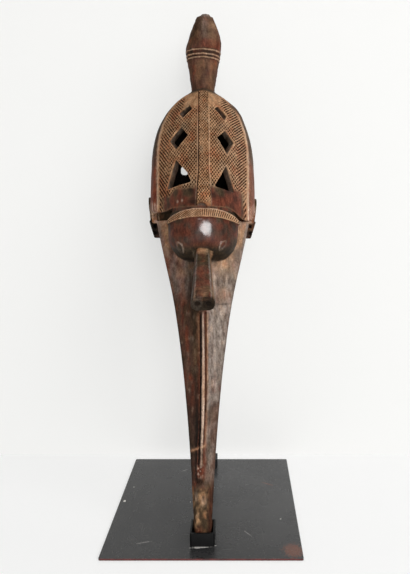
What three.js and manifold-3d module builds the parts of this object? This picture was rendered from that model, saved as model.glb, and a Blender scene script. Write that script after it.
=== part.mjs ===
// Carved crest mask standing on its beak tip on a square steel base.
// Millimetres, +Z up. The mask's face looks towards -Y. The origin is the centre of the plate's underside.
// The mask is drawn in a frame of its own: u to the right, v towards the back, w up along it from its tip.
import * as THREE from 'three';
import { mergeVertices } from 'three/addons/utils/BufferGeometryUtils.js';
import Module from 'manifold-3d';

const wasm = await Module();
wasm.setup();

const GAP = 0.3;
const DEGREE = Math.PI / 180;

// Base plate, the socket for the beak tip, and the rod that holds up the head
const PLATE = { side: 400, thickness: 4, cornerRadius: 3 };
const SOCKET = { y: -139, outside: 50, wall: 3.6, height: 29, cornerRadius: 4 };
const ROD = { y: 166, radius: 6, top: 634, padRadius: 11, padThickness: 6 };
const ROD_FOOT = { outside: 35, height: 25, cornerRadius: 3, boreGap: 0.5 };

// How the mask stands in its socket
const STANCE = { y: -141.5, turn: 4.22, lean: 9, sidewaysLean: 0.8, tipAbovePlate: 2.8 };

// Beak and head: half widths and depths at heights along the mask
const BEAK = {
  height: 655,
  halfWidth: [
    [0, 17.5], [100, 21.1], [185, 26.2], [287, 34.4], [388, 45.4], [491, 60.8], [594, 84], [655, 97],
  ],
  ridgeAtTip: -15,
  ridgeLean: -0.025,
  roofSlope: 0.72,
  backAtTip: 16,
  backAtHead: 206,
  headFrom: 540,
  headHeight: 640,
  backWidthShare: 0.72,
  headWidthShare: 0.88,
};
const TIP = { height: 112, stepHeight: 14, frontHalfWidth: 15, frontSlope: 0.1 };
const KEEL = { from: 157, to: 470, grooveOffset: 5, grooveWidth: 5.4, grooveDepth: 6.5, steps: 14 };
const KEEL_PATH = [[150, -4.2], [184, -3.7], [218, -2.2], [254, -0.9], [326, 0.2], [480, -0.8]];
const KEEL_KNOB = { height: 206, length: 16, width: 8, proud: 3 };

// Recess under the brim of the hood: set back in front, fading out over the blend behind frontDepth
const COVE = { bottom: 640, top: 678, setBack: 8, setIn: 7, frontDepth: 70, blend: 30 };

// Openwork hood with its spine, two sloping panels, rims and back
const HOOD = {
  bottom: 674, shoulder: 760, top: 943, halfWidth: 112, roundness: 2.8,
  spineFoot: -56, spineRise: 118, spineFrom: 690, spineTo: 940, spineCurve: 1.5,
  panelDrop: 0.83, panelCurve: 1.6, rimDepth: 0.42,
  cornerShareLow: 0.83, cornerShareHigh: 0.89, cornerFrom: 700, cornerTo: 890,
  back: 206, backAtTop: 100, backSquareness: 2.5, wall: 13, frontWallShare: 1.7,
};
const SHOULDER = { w: 910, reach: 22, fuller: 0.08 };
const SPINE_BAND = { halfWidth: 10, footHalfWidth: 14, footAt: 690, slimAt: 750, proud: 2.5 };
const CUT_ANGLE = 44;
const OPENINGS = {
  left: [
    [[-30, 900], [-23.4, 889.6], [-43.8, 869.6], [-52.5, 885]],
    [[-47, 849.5], [-31.6, 826], [-56.5, 797], [-71.4, 821]],
    [[-56.5, 776], [-33, 744], [-24.5, 724], [-74.5, 714]],
  ],
  right: [
    [[31.6, 899.1], [24.1, 891], [45.4, 866], [51.2, 879.5]],
    [[47, 842], [28, 821.4], [48.8, 786], [65.1, 818]],
    [[46.8, 763], [21.6, 715.5], [64.1, 707]],
  ],
};
const SPINE_NOTCH = { u: -4.6, w: 674, halfWidth: 11.5, height: 8 };
const RIM_KNOBS = { left: { u: -101, width: 11 }, right: { u: 97, width: 19 } };
const RIM_KNOB = { v: 50, w: 662, depth: 22, height: 20, holeRadius: 2.6 };
const TIE_HOLES = { left: [-42.5, 789], right: [43, 812] };
const TIE_HOLE = { width: 17, height: 21, cornerRadius: 6, depth: 50 };

// Hollow of the head and its opening at the back
const HOLLOW = { bottom: 500, top: 700, front: 44, widthShare: 0.61, squareness: 3 };
const BACK_OPENING = { bottom: 515, top: 672, halfWidth: 52, cornerRadius: 36, depth: 100 };

// Face: a dome under the brim, a comb band over it, two looped eyes and a tube of a nose
const DOME = { w: 633, halfWidth: 71, above: 61, below: 66, depth: 55, centre: 0, squareness: 2.6 };
const COMB = {
  proud: 3.5, halfWidth: 74, crownLow: 656, lowFall: 12, crownHigh: 672, highFall: 21, back: 25, depth: 90,
};
const EYE = { u: 43, w: 601, halfLength: 13, halfWidth: 6.2, rim: 2.6, tilt: 24, proud: 2.2, depth: 70 };
const NOSE = {
  root: [-1.5, -34, 585], angle: 54, length: 120, rootRadius: 16, endRadius: 23, sides: 12, flatness: 0.42,
};
const NOSTRIL = { depth: 3.5, apart: 0.44, width: 0.34, height: 0.5 };
const NOSE_NOTCH = { width: 6, depth: 7, drop: 13 };

// Ears: a C in side view on each side of the head, with a lobe below that has two holes in front
const EAR = {
  v: 104, w: 683, outerRadius: 30, innerRadius: 15, inside: 92, outside: 115.5, opening: 62, flare: 0.1,
};
const LOBE = { v: 100, w: 641, width: 34, height: 36, inside: 86, outside: 110.5, flare: 0.3 };
const LOBE_HOLE = { u: 103.5, heights: [649, 634], radius: 3.8, depth: 12 };

// Finial over the hood
const FINIAL = {
  bottom: 900, top: 1099, apex: [5, 1106], centre: 86, halfDepth: 25, capSink: 6, capTop: 0.55,
  sideShift: [[900, 0], [1020, 0.2], [1032, 0.6], [1045, 2.9], [1062, 3.7], [1100, 3.8]],
  halfWidth: [[900, 22], [941, 24.5], [983, 31], [1031, 38], [1061, 33], [1079, 26.8], [1100, 18]],
  depthShare: [[900, 0.9], [941, 0.92], [1025, 1], [1079, 0.82], [1100, 0.62]],
};
const RINGS = { heights: [1023, 1013.5, 1006.5], halfThickness: [3.2, 1.9, 1.7], proud: 2.2 };

const COLOURS = { wood: 0x4a2e22, steel: 0x26262a };

// Smooth value at x through a few [x, value] stations
function through(stations, x) {
  const last = stations.length - 1;
  if (x <= stations[0][0]) return stations[0][1];
  if (x >= stations[last][0]) return stations[last][1];
  const i = stations.findIndex(([at]) => at > x) - 1;
  const slope = (a, b) => (stations[b][1] - stations[a][1]) / (stations[b][0] - stations[a][0]);
  const span = stations[i + 1][0] - stations[i][0];
  const startSlope = slope(Math.max(i - 1, 0), i + 1) * span;
  const endSlope = slope(i, Math.min(i + 2, last)) * span;
  const t = (x - stations[i][0]) / span;
  const start = (2 * t ** 3 - 3 * t ** 2 + 1) * stations[i][1] + (t ** 3 - 2 * t ** 2 + t) * startSlope;
  return start + (3 * t ** 2 - 2 * t ** 3) * stations[i + 1][1] + (t ** 3 - t ** 2) * endSlope;
}

const clamp = (x) => Math.min(Math.max(x, 0), 1);
const mix = (a, b, t) => a + (b - a) * t;
const smooth = (t) => t * t * (3 - 2 * t);

// Evenly spaced heights from one value to another
const steps = (from, to, count) => Array.from({ length: count + 1 }, (_, i) => mix(from, to, i / count));

// Closed solid from a three.js geometry
function solid(geometry) {
  const bare = geometry.index ? geometry.toNonIndexed() : geometry.clone();
  for (const name of Object.keys(bare.attributes)) {
    if (name !== 'position') bare.deleteAttribute(name);
  }
  const merged = mergeVertices(bare, 1e-4);
  const vertProperties = Float32Array.from(merged.attributes.position.array);
  const triVerts = Uint32Array.from(merged.index.array);
  return new wasm.Manifold(new wasm.Mesh({ numProp: 3, vertProperties, triVerts }));
}

// three.js geometry from a closed solid
function geometryOf(body) {
  const { numProp, vertProperties, triVerts } = body.getMesh();
  const position = new Float32Array((vertProperties.length / numProp) * 3);
  for (let i = 0; i < position.length / 3; i += 1) {
    for (let axis = 0; axis < 3; axis += 1) position[3 * i + axis] = vertProperties[numProp * i + axis];
  }
  const geometry = new THREE.BufferGeometry();
  geometry.setAttribute('position', new THREE.BufferAttribute(position, 3));
  geometry.setIndex(new THREE.BufferAttribute(Uint32Array.from(triVerts), 1));
  geometry.computeVertexNormals();
  return geometry;
}

// Loft: a cylinder whose rings lie at the given heights. Its outline is outline(step, height, side) = [u, v],
// where step 0 is the front, step half is the back, and side is 1 on the right and -1 on the left.
function loft(half, heights, outline) {
  const geometry = new THREE.CylinderGeometry(1, 1, 1, half * 2, heights.length - 1);
  const position = geometry.attributes.position;
  for (let i = 0; i < position.count; i += 1) {
    const [x, y, z] = [position.getX(i), position.getY(i), position.getZ(i)];
    const w = heights[Math.round((y + 0.5) * (heights.length - 1))];
    const front = outline(0, w);
    const back = outline(half, w);
    if (Math.hypot(x, z) < 0.5) {
      position.setXYZ(i, 0, (front[1] + back[1]) / 2, w);
    } else {
      const step = Math.round((Math.atan2(Math.abs(x), z) / Math.PI) * half);
      const side = Math.abs(x) < 1e-6 ? 0 : Math.sign(x);
      const [u, v] = outline(step, w, side);
      position.setXYZ(i, side * u, v, w);
    }
  }
  return solid(geometry);
}

// Extruded shape whose plane is set by the directions of its own x, y and z, starting at a point
function extrude(shape, depth, xAxis, yAxis, zAxis, origin, stretches = 1) {
  const settings = { depth, steps: stretches, bevelEnabled: false, curveSegments: 5 };
  const geometry = new THREE.ExtrudeGeometry(shape, settings);
  const basis = new THREE.Matrix4().makeBasis(xAxis, yAxis, zAxis).setPosition(origin);
  return solid(geometry.applyMatrix4(basis));
}

const U = new THREE.Vector3(1, 0, 0);
const W = new THREE.Vector3(0, 0, 1);
const FORWARD = new THREE.Vector3(0, -1, 0);
const BACKWARD = new THREE.Vector3(0, 1, 0);

function roundedRectangle(width, height, radius, centreX = 0, centreY = 0) {
  const shape = new THREE.Shape();
  const [x0, x1] = [centreX - width / 2, centreX + width / 2];
  const [y0, y1] = [centreY - height / 2, centreY + height / 2];
  shape.absarc(x1 - radius, y0 + radius, radius, -Math.PI / 2, 0, false);
  shape.absarc(x1 - radius, y1 - radius, radius, 0, Math.PI / 2, false);
  shape.absarc(x0 + radius, y1 - radius, radius, Math.PI / 2, Math.PI, false);
  shape.absarc(x0 + radius, y0 + radius, radius, Math.PI, Math.PI * 1.5, false);
  return shape;
}

function box(size, centre) {
  return solid(new THREE.BoxGeometry(...size).translate(...centre));
}

// Beak and head, a roof in front whose ridge is the centre line, or KEEL_PATH where the keel is
const beakHalf = (w) => through(BEAK.halfWidth, w);
const ridgeDepth = (w) => BEAK.ridgeAtTip + BEAK.ridgeLean * w;
const edgeDepth = (w) => ridgeDepth(w) + BEAK.roofSlope * beakHalf(w);
const backDepth = (w) => mix(BEAK.backAtTip, BEAK.backAtHead, smooth(clamp(w / BEAK.headHeight)) ** 1.2);
const ridgeSide = (w) => (w < KEEL_PATH[0][0] || w > KEEL_PATH.at(-1)[0] ? 0 : through(KEEL_PATH, w));
const headShare = (w) => clamp((w - BEAK.headFrom) / (BEAK.headHeight - BEAK.headFrom));

function beakOutline(step, w) {
  const half = beakHalf(w);
  const ridge = ridgeDepth(w);
  const edge = edgeDepth(w);
  const back = backDepth(w);
  const backHalf = half * mix(BEAK.backWidthShare, BEAK.headWidthShare, headShare(w));
  const blunt = 1 - clamp((w - TIP.height) / TIP.stepHeight);
  const flat = mix(2.5, TIP.frontHalfWidth, blunt);
  const flatDepth = ridge + mix(BEAK.roofSlope * 2.5, TIP.frontSlope * flat, blunt);
  const corners = [
    [0, ridge],
    [flat, flatDepth],
    [mix(flat, half, 0.33), mix(flatDepth, edge, 0.33)],
    [mix(flat, half, 0.67), mix(flatDepth, edge, 0.67)],
    [half, edge],
    [half + 0.6, mix(edge, back, 0.08)],
    [mix(half, backHalf, 0.35), mix(edge, back, 0.45)],
    [backHalf, mix(edge, back, 0.78)],
    [0.62 * backHalf, mix(edge, back, 0.96)],
    [0, back],
  ];
  return corners[step];
}

function beakBody() {
  const heights = [
    STANCE.tipAbovePlate, 60, TIP.height, TIP.height + TIP.stepHeight, ...steps(155, BEAK.height, 20),
  ];
  return loft(9, heights, beakOutline).warp((point) => {
    const onRidge = Math.abs(point[0]) < 0.1 && point[1] < 0;
    if (onRidge) point[0] = ridgeSide(point[2]);
  });
}

// Narrow keel left standing between two grooves that are cut along the ridge
function keelGroove(side) {
  const triangle = new THREE.Shape();
  triangle.moveTo(-KEEL.grooveWidth / 2, -8);
  triangle.lineTo(KEEL.grooveWidth / 2, -8);
  triangle.lineTo(0, KEEL.grooveDepth);
  const along = new THREE.Vector3(0, BEAK.ridgeLean, 1).normalize();
  const across = U.clone().negate();
  const inward = new THREE.Vector3().crossVectors(along, across);
  const surface = ridgeDepth(KEEL.from) + BEAK.roofSlope * KEEL.grooveOffset * 0.5;
  const origin = new THREE.Vector3(side * KEEL.grooveOffset, surface, KEEL.from);
  const groove = extrude(triangle, KEEL.to - KEEL.from, across, inward, along, origin, KEEL.steps);
  return groove.warp((point) => { point[0] += ridgeSide(point[2]); });
}

function keelKnob() {
  const knob = new THREE.SphereGeometry(1, 8, 6);
  knob.scale(KEEL_KNOB.width / 2, KEEL_KNOB.proud * 2, KEEL_KNOB.length / 2);
  const { height, proud } = KEEL_KNOB;
  knob.translate(ridgeSide(height), ridgeDepth(height) + proud, height);
  return solid(knob);
}

// Neck in the recess under the brim: the head again, set back and in at the front
function coveNeck() {
  const outline = (step) => {
    const [u, v] = beakOutline(step, BEAK.height);
    const share = clamp((COVE.frontDepth + COVE.blend - v) / COVE.blend);
    return [Math.max(u - COVE.setIn * share, 0), v + COVE.setBack * share];
  };
  return loft(9, [COVE.bottom, COVE.top], outline);
}

// Hood, also used smaller for the hollow inside it
function hoodHalf(w, inset) {
  const t = clamp((w - HOOD.shoulder) / (HOOD.top - inset - HOOD.shoulder));
  return (HOOD.halfWidth - inset) * Math.sqrt(1 - t ** HOOD.roundness);
}

function spineDepth(w) {
  const climbed = clamp((w - HOOD.spineFrom) / (HOOD.spineTo - HOOD.spineFrom));
  return HOOD.spineFoot + HOOD.spineRise * climbed ** HOOD.spineCurve;
}

function cornerHalf(w, inset) {
  const climbed = clamp((w - HOOD.cornerFrom) / (HOOD.cornerTo - HOOD.cornerFrom));
  return mix(HOOD.cornerShareLow, HOOD.cornerShareHigh, climbed) * hoodHalf(w, inset);
}

// Depth of the sloping panel at u to the side of the spine
function panelDepth(u, w, inset) {
  const corner = cornerHalf(w, inset);
  const drop = HOOD.panelDrop * corner * (Math.min(Math.abs(u) / corner, 1)) ** HOOD.panelCurve;
  return spineDepth(w) + HOOD.frontWallShare * inset + drop;
}

function hoodBack(w, inset) {
  const climbed = clamp((w - HOOD.shoulder) / (HOOD.top - HOOD.shoulder));
  return mix(HOOD.back, HOOD.backAtTop, climbed ** 2) - inset;
}

const PANEL_STEPS = 7;
const RIM_STEPS = 3;
const BACK_STEPS = 6;
const HOOD_HALF_STEPS = 2 + PANEL_STEPS + RIM_STEPS + BACK_STEPS;

function hoodOutline(step, w, inset = 0) {
  const half = hoodHalf(w, inset);
  const corner = cornerHalf(w, inset);
  const slimmed = clamp((w - SPINE_BAND.footAt) / (SPINE_BAND.slimAt - SPINE_BAND.footAt));
  const band = Math.min(mix(SPINE_BAND.footHalfWidth, SPINE_BAND.halfWidth, slimmed), corner * 0.4);
  const proud = inset > 0 ? 0 : SPINE_BAND.proud;
  const cornerDepth = panelDepth(corner, w, inset);
  const widestDepth = cornerDepth + HOOD.rimDepth * half;
  const back = hoodBack(w, inset);
  if (step === 0) return [0, spineDepth(w) + HOOD.frontWallShare * inset - proud];
  if (step === 1) return [band, panelDepth(band, w, inset) - proud];
  if (step <= 2 + PANEL_STEPS) {
    const u = mix(band + 1, corner, (step - 2) / PANEL_STEPS);
    return [u, panelDepth(u, w, inset)];
  }
  if (step <= 2 + PANEL_STEPS + RIM_STEPS) {
    const turn = ((step - 2 - PANEL_STEPS) / RIM_STEPS) * Math.PI / 2;
    return [mix(corner, half, Math.sin(turn)), mix(cornerDepth, widestDepth, 1 - Math.cos(turn))];
  }
  const turn = ((step - 2 - PANEL_STEPS - RIM_STEPS) / BACK_STEPS) * Math.PI / 2;
  const reach = (Math.cos(turn) ** HOOD.backSquareness + Math.sin(turn) ** HOOD.backSquareness)
    ** (-1 / HOOD.backSquareness);
  const u = step === HOOD_HALF_STEPS ? 0 : half * reach * Math.cos(turn);
  return [u, mix(widestDepth, back, reach * Math.sin(turn))];
}

function hoodBody() {
  const low = steps(HOOD.bottom, HOOD.shoulder, 4);
  const high = steps(10, 79, 9).map((angle) => mix(HOOD.shoulder, HOOD.top, Math.sin(angle * DEGREE)));
  const outline = (step, w, side) => {
    const [u, v] = hoodOutline(step, w);
    const nearShoulder = Math.exp(-(((w - SHOULDER.w) / SHOULDER.reach) ** 2));
    return [side > 0 ? u * (1 + SHOULDER.fuller * nearShoulder) : u, v];
  };
  return loft(HOOD_HALF_STEPS, [...low, ...high], outline);
}

function hoodHollow() {
  const top = HOOD.top - HOOD.wall;
  const low = steps(HOOD.bottom + HOOD.wall + 6, HOOD.shoulder, 2);
  const high = steps(20, 74, 4).map((angle) => mix(HOOD.shoulder, top, Math.sin(angle * DEGREE)));
  return loft(HOOD_HALF_STEPS, [...low, ...high], (step, w) => hoodOutline(step, w, HOOD.wall));
}

// Opening cut inwards through a panel, at a slant that shows its outer wall from the front
function latticeOpening(corners, side) {
  const angle = CUT_ANGLE * DEGREE;
  const across = new THREE.Vector3(Math.cos(angle), side * Math.sin(angle), 0);
  const outward = new THREE.Vector3(side * Math.sin(angle), -Math.cos(angle), 0);
  const shape = new THREE.Shape();
  let depth = 0;
  corners.forEach(([u, w], i) => {
    const v = panelDepth(u, w, 0);
    const x = u * across.x + v * across.y;
    depth += (u * outward.x + v * outward.y) / corners.length;
    if (i === 0) shape.moveTo(x, w);
    else shape.lineTo(x, w);
  });
  const inside = 46;
  const outside = 40;
  const origin = outward.clone().multiplyScalar(depth - inside);
  return extrude(shape, inside + outside, across, W, outward, origin);
}

function spineNotch() {
  const notch = new THREE.CylinderGeometry(1, 1, 24, 14);
  notch.scale(SPINE_NOTCH.halfWidth, 1, SPINE_NOTCH.height);
  return solid(notch.translate(SPINE_NOTCH.u, HOOD.spineFoot - 4, SPINE_NOTCH.w));
}

function rimKnob({ u, width }) {
  return box([width, RIM_KNOB.depth, RIM_KNOB.height], [u, RIM_KNOB.v, RIM_KNOB.w]);
}

function rimHole({ u }) {
  const hole = new THREE.CylinderGeometry(RIM_KNOB.holeRadius, RIM_KNOB.holeRadius, 40, 8);
  return solid(hole.translate(u, RIM_KNOB.v - 15, RIM_KNOB.w + 4));
}

function tieHole([u, w]) {
  const { width, height, cornerRadius, depth } = TIE_HOLE;
  const shape = roundedRectangle(width, height, cornerRadius, u, w);
  return extrude(shape, depth, U, W, FORWARD, new THREE.Vector3(0, HOOD.back, 0));
}

function headHollow() {
  const outline = (step, w) => {
    const angle = (step / 8) * Math.PI;
    const halfWidth = HOLLOW.widthShare * beakHalf(Math.min(w, BEAK.height));
    const back = backDepth(w) - HOOD.wall;
    const halfDepth = (back - HOLLOW.front) / 2;
    const [across, along] = [Math.abs(Math.sin(angle)), Math.abs(Math.cos(angle))];
    const reach = (across ** HOLLOW.squareness + along ** HOLLOW.squareness) ** (-1 / HOLLOW.squareness);
    const v = (back + HOLLOW.front) / 2 - halfDepth * reach * Math.cos(angle);
    return [halfWidth * reach * Math.sin(angle), v];
  };
  return loft(8, steps(HOLLOW.bottom, HOLLOW.top, 5), outline);
}

function backOpening() {
  const height = BACK_OPENING.top - BACK_OPENING.bottom;
  const middle = (BACK_OPENING.top + BACK_OPENING.bottom) / 2;
  const shape = roundedRectangle(2 * BACK_OPENING.halfWidth, height, BACK_OPENING.cornerRadius, 0, middle);
  return extrude(shape, BACK_OPENING.depth, U, W, FORWARD, new THREE.Vector3(0, HOOD.back + 1, 0));
}

// Face dome, squarer than a ball; a larger one gives whatever stands proud of it
function domeBody(proud) {
  const dome = new THREE.SphereGeometry(1, 32, 20);
  const position = dome.attributes.position;
  for (let i = 0; i < position.count; i += 1) {
    const [x, y, z] = [position.getX(i), position.getY(i), position.getZ(i)];
    const flat = Math.hypot(x, y);
    const n = DOME.squareness;
    const reach = flat > 1e-6 ? ((Math.abs(x) / flat) ** n + (Math.abs(y) / flat) ** n) ** (-1 / n) : 1;
    const u = (DOME.halfWidth + proud) * x * reach;
    const halfHeight = y > 0 ? DOME.above : DOME.below;
    const w = DOME.w + (halfHeight + proud) * y * reach;
    position.setXYZ(i, u, DOME.centre - (DOME.depth + proud) * z, w);
  }
  return solid(dome);
}

// Comb band: the arch-shaped part of a slightly larger dome
function combBand() {
  const shape = new THREE.Shape();
  const places = steps(-COMB.halfWidth, COMB.halfWidth, 12);
  places.forEach((u, i) => {
    const w = COMB.crownLow - COMB.lowFall * (u / COMB.halfWidth) ** 2;
    if (i === 0) shape.moveTo(u, w);
    else shape.lineTo(u, w);
  });
  [...places].reverse().forEach((u) => {
    shape.lineTo(u, COMB.crownHigh - COMB.highFall * Math.abs(u / COMB.halfWidth) ** 2.6);
  });
  const prism = extrude(shape, COMB.depth, U, W, FORWARD, new THREE.Vector3(0, COMB.back, 0));
  return domeBody(COMB.proud).intersect(prism);
}

// Eye: an almond loop, pointed at both ends, raised on the dome
function eyeLoop(side) {
  const almond = (length, width) => Array.from({ length: 12 }, (_, i) => {
    const angle = (-i / 12) * 2 * Math.PI;
    const taper = Math.sign(Math.sin(angle)) * Math.abs(Math.sin(angle)) ** 1.3;
    return new THREE.Vector2(width * taper, length * Math.cos(angle))
      .rotateAround(new THREE.Vector2(0, 0), side * -EYE.tilt * DEGREE)
      .add(new THREE.Vector2(side * EYE.u, EYE.w));
  });
  const shape = new THREE.Shape(almond(EYE.halfLength, EYE.halfWidth));
  shape.holes.push(new THREE.Path(almond(EYE.halfLength - 1.6 * EYE.rim, EYE.halfWidth - EYE.rim)));
  const prism = extrude(shape, EYE.depth, U, W, FORWARD, new THREE.Vector3(0, 0, 0));
  return domeBody(EYE.proud).intersect(prism);
}

// Nose: a tube with a flattened top that flares to a flat end, with two shallow nostrils and a notch between
function noseFrame() {
  const angle = NOSE.angle * DEGREE;
  const along = new THREE.Vector3(0, -Math.cos(angle), -Math.sin(angle));
  const top = new THREE.Vector3(0, -Math.sin(angle), Math.cos(angle));
  return { along, top, root: new THREE.Vector3(...NOSE.root) };
}

function noseBody() {
  const { along, top, root } = noseFrame();
  const nose = new THREE.CylinderGeometry(NOSE.endRadius, NOSE.rootRadius, NOSE.length, NOSE.sides, 4);
  nose.rotateY(Math.PI / NOSE.sides);
  const position = nose.attributes.position;
  for (let i = 0; i < position.count; i += 1) {
    const t = position.getY(i) / NOSE.length + 0.5;
    const radius = mix(NOSE.rootRadius, NOSE.endRadius, t);
    const squared = Math.sign(position.getX(i)) * Math.abs(position.getX(i) / radius) ** NOSE.flatness;
    const waist = 1 - 0.05 * Math.sin(Math.PI * t);
    position.setX(i, squared * radius * waist);
    position.setZ(i, position.getZ(i) * waist);
  }
  const basis = new THREE.Matrix4().makeBasis(U.clone().negate(), along, top);
  nose.applyMatrix4(basis.setPosition(root.clone().addScaledVector(along, NOSE.length / 2)));
  return solid(nose);
}

function nostril(side) {
  const { along, top, root } = noseFrame();
  const pit = new THREE.CylinderGeometry(1, 0.75, 2 * NOSTRIL.depth, 10);
  pit.scale(NOSE.endRadius * NOSTRIL.width, 1, NOSE.endRadius * NOSTRIL.height);
  const centre = root.clone().addScaledVector(along, NOSE.length);
  centre.addScaledVector(U, side * NOSE.endRadius * NOSTRIL.apart);
  const basis = new THREE.Matrix4().makeBasis(U.clone().negate(), along, top).setPosition(centre);
  return solid(pit.applyMatrix4(basis));
}

// Notch between the nostrils, from the top edge of the nose's end
function noseNotch() {
  const { along, top, root } = noseFrame();
  const half = NOSE_NOTCH.width / 2;
  const wedge = new THREE.CylinderGeometry(half, half, 2 * NOSE_NOTCH.drop, 3);
  wedge.scale(1, 1, NOSE_NOTCH.depth / half);
  const centre = root.clone().addScaledVector(along, NOSE.length).addScaledVector(top, NOSE.endRadius);
  const basis = new THREE.Matrix4().makeBasis(U.clone().negate(), top, along.clone().negate());
  return solid(wedge.applyMatrix4(basis.setPosition(centre)));
}

// Ear: a C open towards the back in side view
function ear(side) {
  const shape = new THREE.Shape();
  const start = (EAR.opening / 2) * DEGREE;
  shape.absarc(0, 0, EAR.outerRadius, start, 2 * Math.PI - start, false);
  shape.absarc(0, 0, EAR.innerRadius, 2 * Math.PI - start, start, true);
  return sidePlate(shape, side, EAR);
}

// Plate standing out from the side of the head, further out at its top: shape x runs back, shape y runs up
function sidePlate(shape, side, place) {
  const depth = place.outside - place.inside;
  const start = side > 0 ? place.inside : -place.outside;
  const geometry = new THREE.ExtrudeGeometry(shape, { depth, bevelEnabled: false, curveSegments: 7 });
  geometry.applyMatrix4(new THREE.Matrix4().makeShear(0, 0, 0, side * place.flare, 0, 0));
  const basis = new THREE.Matrix4().makeBasis(BACKWARD, W, U);
  return solid(geometry.applyMatrix4(basis.setPosition(start, place.v, place.w)));
}

function lobe(side) {
  const { width, height } = LOBE;
  const shape = new THREE.Shape();
  shape.moveTo(-width / 2, height / 2);
  shape.lineTo(-width / 2, -height / 3);
  shape.lineTo(-width / 3, -height / 2);
  shape.lineTo(width / 2, -height / 3);
  shape.lineTo(width / 2, height / 2);
  return sidePlate(shape, side, LOBE);
}

function lobeHoles(side) {
  const front = LOBE.v - LOBE.width / 2;
  return LOBE_HOLE.heights.map((w) => {
    const hole = new THREE.CylinderGeometry(LOBE_HOLE.radius, LOBE_HOLE.radius, 2 * LOBE_HOLE.depth, 10);
    return solid(hole.translate(side * LOBE_HOLE.u, front, w));
  });
}

// Finial: a paddle with a soft ridge in front and behind, three rings round it and a bevelled top
function finialBody() {
  const ringHeights = RINGS.heights.flatMap((w, i) => {
    const t = RINGS.halfThickness[i];
    return [w + t, w + 0.6 * t, w - 0.6 * t, w - t];
  });
  const plain = [900, 922, 941, 962, 983, 998, 1033, 1047, 1061, 1072, 1083, 1093, FINIAL.top];
  const heights = [...plain, ...ringHeights].sort((a, b) => a - b);
  const outline = (step, w) => {
    const angle = (step / 6) * Math.PI;
    const onRing = RINGS.heights.some((at, i) => Math.abs(at - w) < 0.8 * RINGS.halfThickness[i]);
    const proud = onRing ? RINGS.proud : 0;
    const half = through(FINIAL.halfWidth, w) + 0.4 * proud;
    const depth = FINIAL.halfDepth * through(FINIAL.depthShare, w) + proud;
    const ridge = step === 0 || step === 6 ? 1 : 0.92;
    return [half * Math.sin(angle) ** 0.8, FINIAL.centre - depth * ridge * Math.cos(angle)];
  };
  return loft(6, heights, outline).warp((point) => { point[0] += through(FINIAL.sideShift, point[2]); });
}

function finialTop() {
  const [apexU, apexW] = FINIAL.apex;
  const rise = apexW - FINIAL.top;
  const half = through(FINIAL.halfWidth, FINIAL.top);
  const depth = FINIAL.halfDepth * through(FINIAL.depthShare, FINIAL.top);
  const cap = new THREE.CylinderGeometry(FINIAL.capTop, 1, rise + FINIAL.capSink, 8);
  cap.rotateX(Math.PI / 2);
  cap.scale(half * 0.98, depth * 0.95, 1);
  cap.translate(apexU, FINIAL.centre, FINIAL.top + (rise - FINIAL.capSink) / 2);
  return solid(cap);
}

const SIDES = [-1, 1];

function maskSolid() {
  const added = [
    coveNeck(), hoodBody(), domeBody(0), combBand(), noseBody(), finialBody(), finialTop(), keelKnob(),
    ...SIDES.flatMap((side) => [eyeLoop(side), ear(side), lobe(side)]),
    ...Object.values(RIM_KNOBS).map(rimKnob),
  ];
  const removed = [
    hoodHollow(), headHollow(), backOpening(), spineNotch(), noseNotch(),
    ...SIDES.flatMap((side) => [nostril(side), ...lobeHoles(side)]),
    ...Object.values(RIM_KNOBS).map(rimHole),
    ...Object.values(TIE_HOLES).map(tieHole),
    ...OPENINGS.left.map((corners) => latticeOpening(corners, -1)),
    ...OPENINGS.right.map((corners) => latticeOpening(corners, 1)),
  ];
  const grooved = SIDES.reduce((body, side) => body.subtract(keelGroove(side)), beakBody());
  const whole = added.reduce((body, piece) => body.add(piece), grooved);
  return removed.reduce((body, tool) => body.subtract(tool), whole);
}

function squareTube(outside, wall, height, radius) {
  const shape = roundedRectangle(outside, outside, radius);
  shape.holes.push(roundedRectangle(outside - 2 * wall, outside - 2 * wall, Math.max(radius - wall, 1)));
  return new THREE.ExtrudeGeometry(shape, { depth: height, bevelEnabled: false, curveSegments: 4 });
}

const wood = new THREE.MeshStandardMaterial({ color: COLOURS.wood, roughness: 0.45, metalness: 0 });
const steel = new THREE.MeshStandardMaterial({ color: COLOURS.steel, roughness: 0.35, metalness: 0.3 });

function named(name, geometry, material) {
  const mesh = new THREE.Mesh(geometry, material);
  mesh.name = name;
  return mesh;
}

function basePlate() {
  const { side, thickness, cornerRadius } = PLATE;
  const shape = roundedRectangle(side, side, cornerRadius);
  const settings = { depth: thickness, bevelEnabled: false, curveSegments: 4 };
  return named('base_plate', new THREE.ExtrudeGeometry(shape, settings), steel);
}

function tipSocket() {
  const tube = squareTube(SOCKET.outside, SOCKET.wall, SOCKET.height, SOCKET.cornerRadius);
  const mesh = named('tip_socket', tube, steel);
  mesh.position.set(0, SOCKET.y, PLATE.thickness + GAP);
  return mesh;
}

function rodFoot() {
  const { outside, height, cornerRadius, boreGap } = ROD_FOOT;
  const shape = roundedRectangle(outside, outside, cornerRadius);
  const bore = new THREE.Path();
  bore.absarc(0, 0, ROD.radius + boreGap, 0, 2 * Math.PI, true);
  shape.holes.push(bore);
  const block = new THREE.ExtrudeGeometry(shape, { depth: height, bevelEnabled: false, curveSegments: 12 });
  const mesh = named('rod_foot', block, steel);
  mesh.position.set(0, ROD.y, PLATE.thickness + GAP);
  return mesh;
}

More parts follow.
